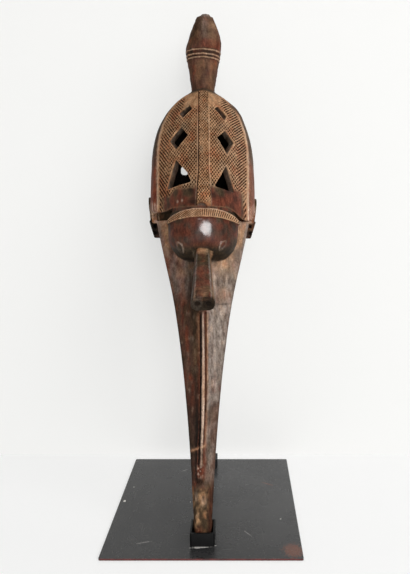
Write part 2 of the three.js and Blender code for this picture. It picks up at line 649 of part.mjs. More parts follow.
function supportRod() {
  const bottom = PLATE.thickness + GAP;
  const profile = [
    [0, bottom], [ROD.radius, bottom], [ROD.radius, ROD.top - ROD.padThickness - 6],
    [ROD.padRadius, ROD.top - ROD.padThickness], [ROD.padRadius, ROD.top], [0, ROD.top],
  ].map(([radius, z]) => new THREE.Vector2(radius, z));
  const geometry = new THREE.LatheGeometry(profile, 16).rotateX(Math.PI / 2);
  const mesh = named('support_rod', geometry, steel);
  mesh.position.set(0, ROD.y, 0);
  return mesh;
}

function carvedMask() {
  const mask = named('mask', geometryOf(maskSolid()), wood);
  mask.rotation.x = -STANCE.lean * DEGREE;
  const sideways = new THREE.Group();
  sideways.rotation.y = STANCE.sidewaysLean * DEGREE;
  sideways.add(mask);
  const turned = new THREE.Group();
  turned.rotation.z = STANCE.turn * DEGREE;
  turned.position.set(0, STANCE.y, PLATE.thickness);
  turned.add(sideways);
  return turned;
}

const object = new THREE.Group();
object.add(basePlate(), tipSocket(), rodFoot(), supportRod(), carvedMask());

export default object;
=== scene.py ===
"""Carved crest mask on its steel stand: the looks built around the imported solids.

The mask's skin is made even, then carved in code: hatched openwork, nicked spine, comb band, eyes, tool marks
and breaks. Carving is worked out in the mask's own frame, in millimetres: u to the right, v towards the back,
w up from the tip. Seeds of the soft noise are whole numbers, a new one for each pattern.
"""

import math
from types import SimpleNamespace as Form

import bmesh
import bpy
import numpy as np
from mathutils import Matrix, Vector


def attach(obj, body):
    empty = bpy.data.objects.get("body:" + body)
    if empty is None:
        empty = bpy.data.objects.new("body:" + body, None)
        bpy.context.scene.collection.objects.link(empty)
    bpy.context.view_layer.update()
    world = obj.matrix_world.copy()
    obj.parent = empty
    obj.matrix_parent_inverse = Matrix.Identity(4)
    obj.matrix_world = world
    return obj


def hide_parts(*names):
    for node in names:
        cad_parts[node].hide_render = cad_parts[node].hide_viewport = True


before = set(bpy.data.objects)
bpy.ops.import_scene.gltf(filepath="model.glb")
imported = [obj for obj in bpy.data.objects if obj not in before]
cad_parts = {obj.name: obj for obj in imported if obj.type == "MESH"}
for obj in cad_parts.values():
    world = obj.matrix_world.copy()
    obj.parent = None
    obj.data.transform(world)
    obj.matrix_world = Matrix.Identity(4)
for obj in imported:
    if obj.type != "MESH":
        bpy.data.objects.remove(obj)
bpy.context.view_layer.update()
MM = 0.001

# Stance and camera
PLATE = Form(side=400, thickness=4)
STANCE = Form(y=-141.5, turn=4.22, lean=9, sideways_lean=0.8)
CAMERA = Form(place=(74.9, -1153.6, 709.6), pitch_down=10.06, focal_pixels=546.7, centre_pixel=239.5)
PHOTO = Form(width=410, height=574)
WALL_Y = 231

# Forms of the mask that the carving follows, as the part gives them
BEAK = Form(
    heights=(0, 100, 185, 287, 388, 491, 594, 655),
    half_widths=(17.5, 21.1, 26.2, 34.4, 45.4, 60.8, 84, 97),
    ridge_at_tip=-15, ridge_lean=-0.025, roof_slope=0.72, top=655,
)
HOOD = Form(
    bottom=674, shoulder=760, top=943, half_width=112, roundness=2.8,
    spine_foot=-56, spine_rise=118, spine_from=690, spine_to=940, spine_curve=1.5,
    panel_drop=0.83, panel_curve=1.6, corner_heights=(700, 890), corner_shares=(0.83, 0.89),
)
SPINE_BAND = Form(heights=(690, 750), half_widths=(14, 10))
OPENINGS = [
    [(-30, 900), (-23.4, 889.6), (-43.8, 869.6), (-52.5, 885)],
    [(-47, 849.5), (-31.6, 826), (-56.5, 797), (-71.4, 821)],
    [(-56.5, 776), (-33, 744), (-24.5, 724), (-74.5, 714)],
    [(31.6, 899.1), (24.1, 891), (45.4, 866), (51.2, 879.5)],
    [(47, 842), (28, 821.4), (48.8, 786), (65.1, 818)],
    [(46.8, 763), (21.6, 715.5), (64.1, 707)],
]
LATTICE_EDGE = Form(heights=(700, 818, 882, 925), half_widths=(68, 71, 53, 22))
DOME = Form(w=633, half_width=71, above=61, below=66, squareness=2.6)
COMB = Form(half_width=74, crown_low=656, low_fall=12, crown_high=672, high_fall=21)
SOURCE_EYE = Form(u=43, w=601, reach=17)
EYE_LOOPS = (
    Form(side=-1, u=-45.5, w=596, half_length=13, half_width=6, tilt=28),
    Form(side=1, u=37.5, w=600, half_length=12, half_width=5.8, tilt=32),
)
NOSE = Form(root=(-1.5, -34, 585), angle=54, length=120, root_radius=16, end_radius=23)
KEEL = Form(
    start=157, end=470, heights=(150, 184, 218, 254, 326, 480), sides=(-4.2, -3.7, -2.2, -0.9, 0.2, -0.8),
)
TIP_HEIGHT = 112
RING_HEIGHTS = (1023, 1013.5, 1006.5)
FINIAL_FROM = 941
FINIAL_TOP = 1102
COVE = Form(low=641, high=673, front=-48, back=90)
EAR = Form(start=97, low=622, high=716, front=66)
KNOB = Form(start=89, low=652, high=673, front=36, back=64)
BROW = Form(top=715, half_width=82, fall_right=20, fall_left=5, fall_from=705, fall_full=676)
SPINE_KNOB = (-4.6, 678)
CHIPS = ((-51.3, 686.9), (-42, 688.4))

# Fineness of the skin and of the carving
VOXEL = 1.7
MOST_TRIANGLES = 190_000
SHARP_COSINE = 0.962
SMOOTHED_FROM = 566
SMOOTHING_ROUNDS = 40
HATCH_PITCH = 5.0
BORDER_PITCH = 4.8
SPINE_PITCH = 5.4
COMB_PITCH = 4.0
HATCH_DEPTH = 1.7
EYE_RIM_HEIGHT = 1.5


def srgb(red, green, blue):
    """Colour from 0 to 255, as a photograph gives it, in Blender's linear values."""
    def linear(value):
        share = value / 255
        return share / 12.92 if share <= 0.04045 else ((share + 0.055) / 1.055) ** 2.4
    return (linear(red), linear(green), linear(blue), 1.0)


def rise(x, start, end):
    """Straight rise from 0 at start to 1 at end, either of which may be the lower."""
    return np.clip((x - start) / (end - start), 0, 1)


def ramp(x, start, end):
    """The same rise with soft ends."""
    t = rise(x, start, end)
    return t * t * (3 - 2 * t)


def within(x, low, high, soft):
    """1 between low and high, falling to 0 over the soft distance outside them."""
    return ramp(x, low - soft, low) * ramp(x, high + soft, high)


def blob(u, w, centre, reach):
    """Soft spot round a centre in the front view, 1 in its middle."""
    return np.exp(-(((u - centre[0]) / reach[0]) ** 2) - ((w - centre[1]) / reach[1]) ** 2)


def waves(x):
    """Rounded ridges, one for each whole step of x, from 0 to 1."""
    return np.abs(np.sin(math.pi * x))


def soft_noise(points, size, seed):
    """Smooth random values from -1 to 1, with lumps of about the given sizes along u, v and w."""
    table = np.random.default_rng(seed).uniform(-1, 1, (32, 32, 32))
    cell = points / np.array(size, float)
    base = np.floor(cell).astype(int)
    t = cell - base
    t = t * t * (3 - 2 * t)
    total = np.zeros(len(points))
    for corner in np.ndindex(2, 2, 2):
        share = np.prod(np.where(corner, t, 1 - t), axis=1)
        at = (base + np.array(corner)) % 32
        total += share * table[at[:, 0], at[:, 1], at[:, 2]]
    return total


def mask_matrix():
    """From the mask's own frame in millimetres to the row frame in metres."""
    foot = Matrix.Translation(Vector((0, STANCE.y, PLATE.thickness)) * MM)
    turn = Matrix.Rotation(math.radians(STANCE.turn), 4, "Z")
    sideways = Matrix.Rotation(math.radians(STANCE.sideways_lean), 4, "Y")
    lean = Matrix.Rotation(math.radians(-STANCE.lean), 4, "X")
    return foot @ turn @ sideways @ lean @ Matrix.Scale(MM, 4)


# Forms of the mask, for arrays of points

def beak_half(w):
    return np.interp(w, BEAK.heights, BEAK.half_widths)


def ridge_depth(w):
    return BEAK.ridge_at_tip + BEAK.ridge_lean * w


def roof_depth(u, w):
    return ridge_depth(w) + BEAK.roof_slope * np.abs(u)


def keel_side(w):
    """Where the keel's crest lies to the side of the centre line."""
    return np.interp(w, KEEL.heights, KEEL.sides)


def hood_half(w):
    return HOOD.half_width * np.sqrt(1 - rise(w, HOOD.shoulder, HOOD.top) ** HOOD.roundness)


def corner_half(w):
    """Half width of the panels, where they meet the rims."""
    return np.interp(w, HOOD.corner_heights, HOOD.corner_shares) * hood_half(w)


def panel_depth(u, w):
    up = rise(w, HOOD.spine_from, HOOD.spine_to)
    spine = HOOD.spine_foot + HOOD.spine_rise * up ** HOOD.spine_curve
    corner = np.maximum(corner_half(w), 1)
    share = np.minimum(np.abs(u) / corner, 1)
    return spine + HOOD.panel_drop * corner * share ** HOOD.panel_curve


def spine_half(w):
    return np.interp(w, SPINE_BAND.heights, SPINE_BAND.half_widths)


def comb_edges(u):
    """Lower and upper edge of the comb band."""
    share = np.abs(u) / COMB.half_width
    low = COMB.crown_low - COMB.low_fall * share ** 2
    high = COMB.crown_high - COMB.high_fall * share ** 2.6
    return low, high


def dome_reach(u, w):
    """1 on the dome's outline in the front view, less inside it."""
    n = DOME.squareness
    across = np.abs(u) / DOME.half_width
    up = np.abs(w - DOME.w) / np.where(w > DOME.w, DOME.above, DOME.below)
    return (across ** n + up ** n) ** (1 / n)


def eye_reach(u, w, loop):
    """1 on the outline of an eye's loop, less inside it."""
    turn = math.radians(loop.side * loop.tilt)
    du, dw = u - loop.u, w - loop.w
    along = (dw * math.cos(turn) + du * math.sin(turn)) / loop.half_length
    across = (du * math.cos(turn) - dw * math.sin(turn)) / loop.half_width
    return np.hypot(np.abs(across) ** (1 / 1.3), along)


def opening_distance(u, w):
    """Distance in the front view to the outline of the nearest opening of the hood."""
    nearest = np.full(len(u), 1e3)
    for corners in OPENINGS:
        for start, end in zip(corners, corners[1:] + corners[:1]):
            along = np.subtract(end, start).astype(float)
            t = np.clip(((u - start[0]) * along[0] + (w - start[1]) * along[1]) / (along @ along), 0, 1)
            gap = np.hypot(u - start[0] - t * along[0], w - start[1] - t * along[1])
            nearest = np.minimum(nearest, gap)
    return nearest


# Mesh helpers

def new_piece(name, data):
    piece = bpy.data.objects.new(name, data)
    bpy.context.scene.collection.objects.link(piece)
    return piece


def remake(piece, kind, **settings):
    """Puts a piece through one modifier."""
    modifier = piece.modifiers.new(kind.lower(), kind)
    for name, value in settings.items():
        setattr(modifier, name, value)
    bpy.context.view_layer.update()
    evaluated = piece.evaluated_get(bpy.context.evaluated_depsgraph_get())
    finished = bpy.data.meshes.new_from_object(evaluated)
    rough = piece.data
    piece.modifiers.clear()
    piece.data = finished
    bpy.data.meshes.remove(rough)


def merged_copy(node, name):
    """Copy of a CAD node's mesh with its loose triangles joined."""
    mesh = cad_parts[node].data.copy()
    shell = bmesh.new()
    shell.from_mesh(mesh)
    bmesh.ops.remove_doubles(shell, verts=shell.verts, dist=0.01 * MM)
    shell.to_mesh(mesh)
    shell.free()
    return new_piece(name, mesh)


def values_of(elements, name, width, kind=float):
    """What the points or edges of a mesh hold under a name, one row for each."""
    values = np.empty(len(elements) * width, kind)
    elements.foreach_get(name, values)
    return values.reshape(-1, width)


def set_attribute(mesh, name, values):
    attribute = mesh.attributes.new(name, "FLOAT", "POINT")
    attribute.data.foreach_set("value", np.asarray(values, np.float32))


class Skin:
    """Points and normals of a mesh in the mask's own frame, and the areas of the mask that they lie in.

    An area is an array with 1 inside it and 0 outside, and soft edges.
    """

    def __init__(self, mesh):
        self.mesh = mesh
        self.to_row = np.array(mask_matrix())
        to_mask = np.linalg.inv(self.to_row)
        placed = values_of(mesh.vertices, "co", 3)
        self.points = placed @ to_mask[:3, :3].T + to_mask[:3, 3]
        turned = values_of(mesh.vertex_normals, "vector", 3) @ self.to_row[:3, :3]
        self.normals = turned / np.linalg.norm(turned, axis=1)[:, None]
        self.u, self.v, self.w = self.points.T
        self.find_head_areas()
        self.find_hood_areas()
        self.find_nose_area()

    def find_head_areas(self):
        u, v, w = self.points.T
        facing = ramp(self.normals[:, 1], 0, -0.3)
        self.across = u - keel_side(w)
        self.in_front = ramp(v, ridge_depth(w) + 13, ridge_depth(w) + 9)
        self.roof = ramp(np.abs(v - roof_depth(u, w)), 4.0, 2.0) * facing * (w < BEAK.top + 2)
        self.right = self.roof * ramp(self.across, 6, 9)
        self.left = self.roof * ramp(self.across, -6, -9)
        self.above_tip = ramp(w, TIP_HEIGHT + 4, TIP_HEIGHT + 14)
        low, high = comb_edges(u)
        self.comb = within(w, low, high, 0.8) * ramp(v, 12, 2) * ramp(np.abs(u), 73, 70)
        self.dome = ramp(dome_reach(u, w), 1.03, 0.98) * (v < 8) * (1 - self.comb) * (w < 668)
        self.cove = within(w, COVE.low, COVE.high, 2) * (v > COVE.front) * (v < COVE.back)
        self.cove *= (1 - self.comb) * (1 - self.roof) * ramp(dome_reach(u, w), 1.0, 1.04)
        self.ear = ramp(np.abs(u), EAR.start - 2, EAR.start + 1) * (v > EAR.front)
        self.ear *= within(w, EAR.low, EAR.high, 2)
        self.knob = ramp(np.abs(u), KNOB.start - 1, KNOB.start + 1)
        self.knob *= within(w, KNOB.low, KNOB.high, 2) * within(v, KNOB.front, KNOB.back, 2)
        self.finial = ramp(w, FINIAL_FROM - 3, FINIAL_FROM + 1)

    def find_hood_areas(self):
        u, v, w = self.points.T
        corner = corner_half(w)
        facing = ramp(self.normals[:, 1], 0.1, -0.25)
        self.hood = ramp(w, HOOD.bottom, HOOD.bottom + 4) * (1 - self.finial)
        near = ramp(np.abs(v - panel_depth(u, w)), 5.5, 4.0)
        self.panel = near * facing * self.hood * ramp(w, 936, 930)
        self.panel *= ramp(np.abs(u), corner + 2.5, corner + 0.5)
        self.behind = (v - panel_depth(u, w)) * (np.abs(u) < corner - 3) * self.hood
        self.rim = np.clip(self.hood - self.panel - ramp(self.behind, 3, 6), 0, 1) * (1 - self.ear)
        self.spine = self.panel * ramp(np.abs(u), spine_half(w) + 1.2, spine_half(w) + 0.2)
        ragged = 5 * self.noise((9, 9, 9), 4)
        top = BROW.top - 14 * ramp(u, -56, -64) - 6 * ramp(u, 62, 76) + ragged
        self.brow = self.panel * (1 - self.spine) * ramp(w, top + 5, top - 5)
        self.brow *= ramp(np.abs(u) + ragged, BROW.half_width + 6, BROW.half_width - 6)

    def find_nose_area(self):
        u, v, w = self.points.T
        root, angle = NOSE.root, math.radians(NOSE.angle)
        down = (root[2] - w) * math.sin(angle) + (root[1] - v) * math.cos(angle)
        above = (w - root[2]) * math.cos(angle) - (v - root[1]) * math.sin(angle)
        self.down = down / NOSE.length
        self.nose_side = u - root[0]
        self.nose_radius = NOSE.root_radius + (NOSE.end_radius - NOSE.root_radius) * self.down
        self.nose_edge = np.abs(np.abs(self.nose_side) - 0.67 * self.nose_radius)
        self.nose_reach = np.hypot(self.nose_side, above) / self.nose_radius
        near = np.hypot(self.nose_side, above) < self.nose_radius + 4
        clear = ramp(v, roof_depth(u, w) - 1, roof_depth(u, w) - 3.5)
        outside_dome = ramp(dome_reach(u, w), 0.4, 0.45) * near * (down > 0)
        on_top = ramp(above / self.nose_radius, 0.55, 0.8)
        self.nose = near * (down > 0) * clear * np.maximum(outside_dome, on_top)
        self.nose_top = self.nose * ramp(above, 0.35 * self.nose_radius, 0.6 * self.nose_radius)

    def noise(self, size, seed):
        return soft_noise(self.points, size, seed)

    def place(self, points):
        """Gives the mesh new points, stated in the mask's own frame."""
        placed = points @ self.to_row[:3, :3].T + self.to_row[:3, 3]
        self.mesh.vertices.foreach_set("co", placed.astype(np.float32).ravel())
        self.mesh.update()


def brow_fall(skin):
    """How far in millimetres the ends of the hood's lower front edge hang down, most at the right."""
    u, v, w = skin.points.T
    fall = BROW.fall_right * ramp(u, 49, 88) + BROW.fall_left * ramp(u, -60, -80)
    fall *= rise(w, BROW.fall_from, BROW.fall_full) * (w > HOOD.bottom - 6)
    behind = v - panel_depth(u, w)
    return fall * rise(behind, 18, 3) * (behind > -4)


def border_lines(skin):
    """The raised lines that frame the hatching: round the openings, beside the spine and along the rims."""
    beside_spine = within(np.abs(skin.u) - spine_half(skin.w), 1.0, 2.4, 0.6) * ramp(skin.w, 905, 880)
    beside_rim = within(corner_half(skin.w) - np.abs(skin.u), 1.2, 3.0, 0.6) * ramp(skin.w, 900, 860)
    beside_opening = 0.25 * within(opening_distance(skin.u, skin.w), 1.0, 2.2, 0.6) * (1 - skin.brow)
    return np.maximum(np.maximum(beside_spine, beside_rim), beside_opening) * skin.panel


def crossed_hatching(skin, wander):
    angle = math.radians(36)
    across, up = skin.u * math.cos(angle), skin.w * math.sin(angle)
    squares = waves((across + up + wander) / HATCH_PITCH) * waves((across - up + wander) / HATCH_PITCH)
    uneven = 0.08 * skin.noise((5, 5, 5), 8)
    return ramp(squares ** 0.5 + uneven, 0.38, 0.78)


def sloping_cuts(skin, wander):
    """Long slanting cuts of the outer fields, broken by ticks."""
    slant = np.radians(np.where(skin.u < 0, 58, 46))
    run = np.abs(skin.u) * np.sin(slant) - skin.w * np.cos(slant) + wander
    ticks = 0.6 + 0.4 * waves((skin.w + 0.4 * np.abs(skin.u)) / (1.5 * BORDER_PITCH))
    uneven = 0.1 * skin.noise((6, 6, 6), 9)
    return ramp(waves(run / BORDER_PITCH) * ticks + uneven, 0.32, 0.78)


def spine_nicks(skin):
    """Short nicks in slanting rows that cross each other, unevenly cut."""
    sideways = skin.u + 1.2 * skin.noise((7, 7, 7), 6)
    upward = 0.75 * skin.w + 1.2 * skin.noise((7, 7, 7), 7)
    rows = waves((upward + sideways) / SPINE_PITCH) * waves((upward - sideways) / SPINE_PITCH)
    return ramp(rows ** 0.5 + 0.16 * skin.noise((4, 4, 4), 10), 0.48, 0.8)


def comb_strokes(skin):
    """Strokes that fan out over the comb band, and a net of dots on its left half."""
    u, w = skin.u, skin.w
    low, high = comb_edges(u)
    fan = waves(np.arctan2(u, w - 560) * 104 / COMB_PITCH) ** 4
    net = waves((0.75 * u + w) / COMB_PITCH) * waves((0.75 * u - w) / COMB_PITCH)
    crossed = ramp(u, 2, -12)
    strokes = fan * (1 - crossed) + 0.9 * ramp(net ** 0.5, 0.42, 0.9) * crossed
    return 0.85 * strokes * within(w, low + 1.4, high - 1.4, 0.8) * skin.comb


def carved_pits(skin):
    """Depth from 0 to 1 of everything that is cut in: hatching, spine, and the comb's strokes."""
    u, w = skin.u, skin.w
    wander = 0.9 * skin.noise((26, 26, 26), 3)
    edge = np.interp(w, LATTICE_EDGE.heights, LATTICE_EDGE.half_widths)
    outside = ramp(np.abs(u), edge - 0.5, edge + 1.0)
    hatched = crossed_hatching(skin, wander) * (1 - outside) + sloping_cuts(skin, wander) * outside
    hatched *= ramp(np.abs(u) - spine_half(w), 2.2, 3.4) * ramp(corner_half(w) - np.abs(u), 2.8, 4.2)
    hatched *= ramp(opening_distance(u, w) + 0.8 * wander, 1.2, 2.4) * (1 - skin.brow)
    hatched *= 1 - ramp(w, 890, 900) * ramp(np.abs(u), 46, 34) * np.where(u < 0, 1, 0.6)
    edge_cut = within(np.abs(u) - spine_half(w), -1.0, 0.8, 0.8) * (1 - skin.brow)
    edge_cut *= np.where(u < 0, 1.0, 0.45)
    spine = spine_nicks(skin) * skin.spine * ramp(w, 678, 686)
    wear = 0.8 + 0.35 * skin.noise((18, 18, 18), 5)
    panel = np.maximum(hatched * (1 - skin.spine), np.maximum(spine, edge_cut)) * wear * skin.panel
    return np.clip(np.maximum(panel, comb_strokes(skin)), 0, 1)


def tool_marks(skin):
    """Height in millimetres of adze and knife marks, raised lines, nicks and the broken keel."""
    u, w = skin.u, skin.w
    facets = skin.noise((11, 11, 26), 11)
    ripple = skin.noise((5, 5, 9), 12)
    right = ramp(u, -2, 6) * skin.roof
    left = ramp(u, 2, -6) * skin.roof
    height = right * (0.8 * np.abs(facets) + 0.24 * ripple) * ramp(w, 240, 275)
    height += right * (0.25 * facets + 0.2 * ripple) * ramp(w, 275, 240)
    height += left * (0.4 * facets + 0.2 * ripple)
    height += ramp(w, 125, TIP_HEIGHT) * (0.9 * skin.noise((6, 6, 16), 13) + 0.4 * ripple)
    flats = 0.9 * np.abs(skin.noise((9, 9, 20), 14)) + 0.2 * ripple
    height += skin.finial * ramp(w, FINIAL_TOP, FINIAL_TOP - 8) * flats
    height += skin.hood * (1 - skin.panel) * 0.3 * skin.noise((14, 14, 24), 15)
    height += skin.panel * 0.35 * skin.noise((12, 12, 12), 16)
    height += skin.dome * 0.22 * skin.noise((9, 9, 9), 18)

    height += 0.45 * border_lines(skin)
    height += 0.8 * ramp(skin.nose_edge, 1.8, 0.6) * skin.nose_top * ramp(skin.down, 0.98, 0.94)

    broken = blob(u, w, (-7, 146), (11, 17)) * skin.in_front
    height += broken * (2.4 * np.abs(skin.noise((5, 5, 5), 17)) + 0.8)
    height -= 3.2 * blob(u, w, (-9, 125), (8, 6)) * skin.in_front
    height += 1.1 * blob(u, w - 0.55 * u, (-12, 198), (17, 3.2)) * skin.roof
    height -= 0.9 * blob(u, w, (44, 483), (22, 1.4)) * skin.roof
    for place in CHIPS:
        height -= 1.2 * blob(u, w, place, (2.2, 3.4)) * skin.panel
    return height - 0.5 * rim_scratches(skin)


def rim_scratches(skin):
    """Upright scratches at the foot of the rims."""
    lines = waves(skin.u * 0.3 + 0.4 * skin.noise((9, 9, 9), 19)) ** 6
    return lines * within(skin.w, 664, 690, 5) * ramp(np.abs(skin.u), 92, 95) * ramp(skin.v, 110, 90)


def smooth_facets(piece):
    """Smooths the shallow facets of the skin and leaves its sharp edges alone."""
    mesh = piece.data
    normals = values_of(mesh.vertex_normals, "vector", 3)
    edges = values_of(mesh.edges, "vertices", 2, int)
    turn = np.einsum("ij,ij->i", normals[edges[:, 0]], normals[edges[:, 1]])
    sharp = np.zeros(len(normals), bool)
    sharp[edges[turn < SHARP_COSINE]] = True
    for _ in range(2):
        sharp[edges[sharp[edges[:, 0]] != sharp[edges[:, 1]]]] = True
    skin = Skin(mesh)
    faceted = (skin.w > SMOOTHED_FROM) & (skin.nose < 0.5) & (skin.roof < 0.5) & ~sharp
    facets = piece.vertex_groups.new(name="facets")
    facets.add(np.nonzero(faceted)[0].tolist(), 1, "REPLACE")
    remake(piece, "SMOOTH", factor=0.6, iterations=SMOOTHING_ROUNDS, vertex_group=facets.name)
    piece.vertex_groups.clear()


def levelled_eyes(skin, on_dome):
    """How far the dome moves back where the source's eye loops are, to be even with what is round them."""
    u, v, w = skin.points.T
    shift = np.zeros(len(v))
    for side in (-1, 1):
        du, dw = u - side * SOURCE_EYE.u, w - SOURCE_EYE.w
        far = np.hypot(du, dw) - SOURCE_EYE.reach
        around = on_dome & (far > 0) & (far < 11)
        # A cubic surface fitted to the dome round the eye
        terms = np.stack([(du / 20) ** i * (dw / 20) ** j for i in range(4) for j in range(4 - i)], 1)
        level = terms @ np.linalg.lstsq(terms[around], v[around], rcond=None)[0]
        shift += (level - v) * rise(far, 2, -0.5) * on_dome
    return shift


def recut_eyes(piece):
    """Levels the source's eye loops into the dome and raises them again, leaning outwards at the top."""
    skin = Skin(piece.data)
    u, v, w = skin.points.T
    on_dome = (dome_reach(u, w) < 0.95) & (v < -12) & (skin.normals[:, 1] < 0.2)
    shift = levelled_eyes(skin, on_dome)
    for loop in EYE_LOOPS:
        reach = eye_reach(u, w, loop)
        rim = EYE_RIM_HEIGHT * within(reach, 0.66, 0.98, 0.14)
        shift -= (rim - 0.5 * ramp(reach, 0.6, 0.4)) * on_dome
    skin.points[:, 1] += shift
    skin.place(skin.points)


def split_carved_faces(piece):
    """Cuts the faces that carry carving in four, so that the pits have enough points."""
    skin = Skin(piece.data)
    fine = (skin.panel > 0.3) | (skin.comb > 0.3)
    grid = bmesh.new()
    grid.from_mesh(piece.data)
    edges = [edge for edge in grid.edges if fine[edge.verts[0].index] and fine[edge.verts[1].index]]
    bmesh.ops.subdivide_edges(grid, edges=edges, cuts=1, use_grid_fill=True)
    grid.to_mesh(piece.data)
    grid.free()


# Finish of the wood, some of it painted light and shade: how much of each layer lies where, from 0 to 1, for
# the wood's material to read.
# Small and broad are noises that break the layers up.

# The near-black layer also carries painted shade, and the pale layer painted light
LAYERS = ("tan", "ash", "bare", "gloss", "red", "olive", "soot")


def panel_colour_and_light(skin, wood, small, broad):
    """Pale dressed wood of the openwork, lighter towards the right as painted light, its red-brown spine, and
    the dark knob at the spine's foot.
    """
    u, w = skin.u, skin.w
    dressed = skin.panel * (1 - skin.brow)
    wood.tan += dressed * (0.92 + 0.15 * broad)
    # Pale raised border lines, and the openwork lighter towards the right: painted light
    wood.bare += 0.16 * border_lines(skin) + 0.13 * dressed * ramp(u, 10, 70)
    wood.red += 0.3 * skin.spine * ramp(small, 0.0, 0.5) * ramp(w, 860, 820)
    wood.red += 0.5 * skin.spine * ramp(w, 722, 700)
    knob = skin.panel * blob(u, w, SPINE_KNOB, (15, 8))
    wood.olive += knob
    wood.soot += 0.6 * knob
    for place in CHIPS:
        wood.bare += 0.7 * blob(u, w, place, (1.4, 2.2)) * skin.panel


def brow_finish(skin, wood, small, broad):
    streaks = skin.noise((9, 9, 16), 31) + 0.5 * small
    clouds = skin.noise((12, 12, 12), 32)
    wood.red += 0.85 * skin.brow * ramp(streaks, -0.5, 0.4)
    wood.soot += skin.brow * (0.15 + 0.6 * ramp(clouds, -0.1, 0.7))
    wood.olive += 0.8 * skin.brow * ramp(streaks, 0.2, -0.6)
    wood.gloss += 0.3 * skin.brow


def rim_colour_light_and_shade(skin, wood, small, broad):
    """Rims of the hood, red low down and dark higher up, lighter at the right as painted light, and the grey
    walls of its openings, with painted shade deep inside.
    """
    u, w = skin.u, skin.w
    high = ramp(w, 770, 830)
    wood.red += skin.rim * ramp(w, 800, 745) * (0.9 + 0.3 * small)
    wood.olive += skin.rim * (0.6 * high + 0.3 * ramp(small, 0.1, 0.5))
    wood.soot += 0.35 * skin.rim * high
    wood.gloss += 0.2 * skin.rim
    # Pale scratches, and the right rim lighter: painted light
    wood.bare += 0.75 * rim_scratches(skin) + 0.09 * skin.rim * ramp(u, 70, 90)
    corner = np.abs(np.abs(u) - corner_half(w) - 0.4)
    facing = ramp(skin.normals[:, 1], 0.1, -0.2)
    wood.bare += 0.4 * ramp(corner, 1.9, 0.6) * skin.hood * facing * ramp(w, 890, 850)
    wall = ramp(skin.behind, 3, 6) * ramp(skin.behind, 24, 18)
    wood.ash += 0.25 * wall
    wood.olive += 0.5 * wall
    # Painted shade deep inside the hood, seen through its openings
    wood.soot += ramp(skin.behind, 19, 26)


def comb_colour_and_shade(skin, wood, small, broad):
    """Comb band, the cove beside it darkened as painted shade under the brim, and the red foot of the rim at
    the cove's right end.
    """
    u, w = skin.u, skin.w
    wood.tan += skin.comb
    wood.bare += 0.1 * skin.comb
    wood.red += 0.4 * skin.comb * ramp(small, 0.1, 0.6)
    wood.bare += 0.3 * skin.comb * ramp(comb_edges(u)[1] - w, 2.4, 1.2)
    foot = np.clip(skin.cove * ramp(u + 0.4 * (w - 655), 74, 84), 0, 1)
    # The cove's olive and near-black are painted shade under the brim
    wood.olive += skin.cove
    wood.tan += 0.3 * skin.cove * ramp(u, -86, -92) + foot * (0.15 + 0.5 * small)
    wood.red += 0.6 * foot
    wood.soot += (skin.cove - foot) * (0.55 * ramp(u, -92, -84) + 0.2 * broad)


def dome_colour_light_and_shade(skin, wood, small, broad):
    """Rubbed red-brown face with painted shade below it and above the comb, and pale worn rims of the eyes
    with a painted highlight on one side.
    """
    u, v, w = skin.u, skin.v, skin.w
    comb_low = comb_edges(u)[0]
    face = skin.dome * ramp(w, comb_low + 1, comb_low - 1)
    # Painted shade in the gap above the comb, under the brim
    wood.olive += skin.dome - face
    wood.soot += 0.6 * (skin.dome - face)
    clouds = skin.noise((15, 15, 13), 33)
    wood.red += 0.95 * face * ramp(clouds, -0.4, 0.3) * ramp(w, 590, 608)
    # Olive low on the face and a dark tone all over it, darker towards the bottom as painted shade on its
    # underside
    wood.olive += face * ramp(w, 612, 592)
    wood.soot += face * (1 - skin.nose) * (0.38 + 0.35 * ramp(w, 604, 580) + 0.3 * ramp(small, 0.1, 0.6))
    shine = 0.74 * blob(u, w, (2, 633), (34, 34)) + 0.33
    shine *= (1 - blob(u, w, (0, 596), (22, 16))) * ramp(w, 572, 596) * ramp(comb_low - w, 0, 12)
    wood.gloss += face * shine
    for loop in EYE_LOOPS:
        ring = within(eye_reach(u, w, loop), 0.7, 0.97, 0.1) * (v < -20)
        # Pale worn rim, with a painted highlight on the side that faces the light
        lit = ramp(0.5 * (w - loop.w) - loop.side * (u - loop.u), -2, 3)
        wood.bare += (0.12 + 0.3 * lit) * ring


def ear_finish(skin, wood, small, broad):
    u, w = skin.u, skin.w
    lower = ramp(w, 668, 662)
    wood.olive += skin.ear * (1 - lower)
    wood.red += skin.ear * 0.7 * within(w, 662, 678, 6) * ramp(u, -10, 10)
    wood.soot += skin.ear * lower * np.where(u < 0, 0.95, 0.6)
    wood.red += 0.7 * skin.knob
    wood.tan += skin.knob * (0.3 + 0.5 * small)
    wood.bare += 0.35 * skin.knob * ramp(small, 0.3, 0.7)


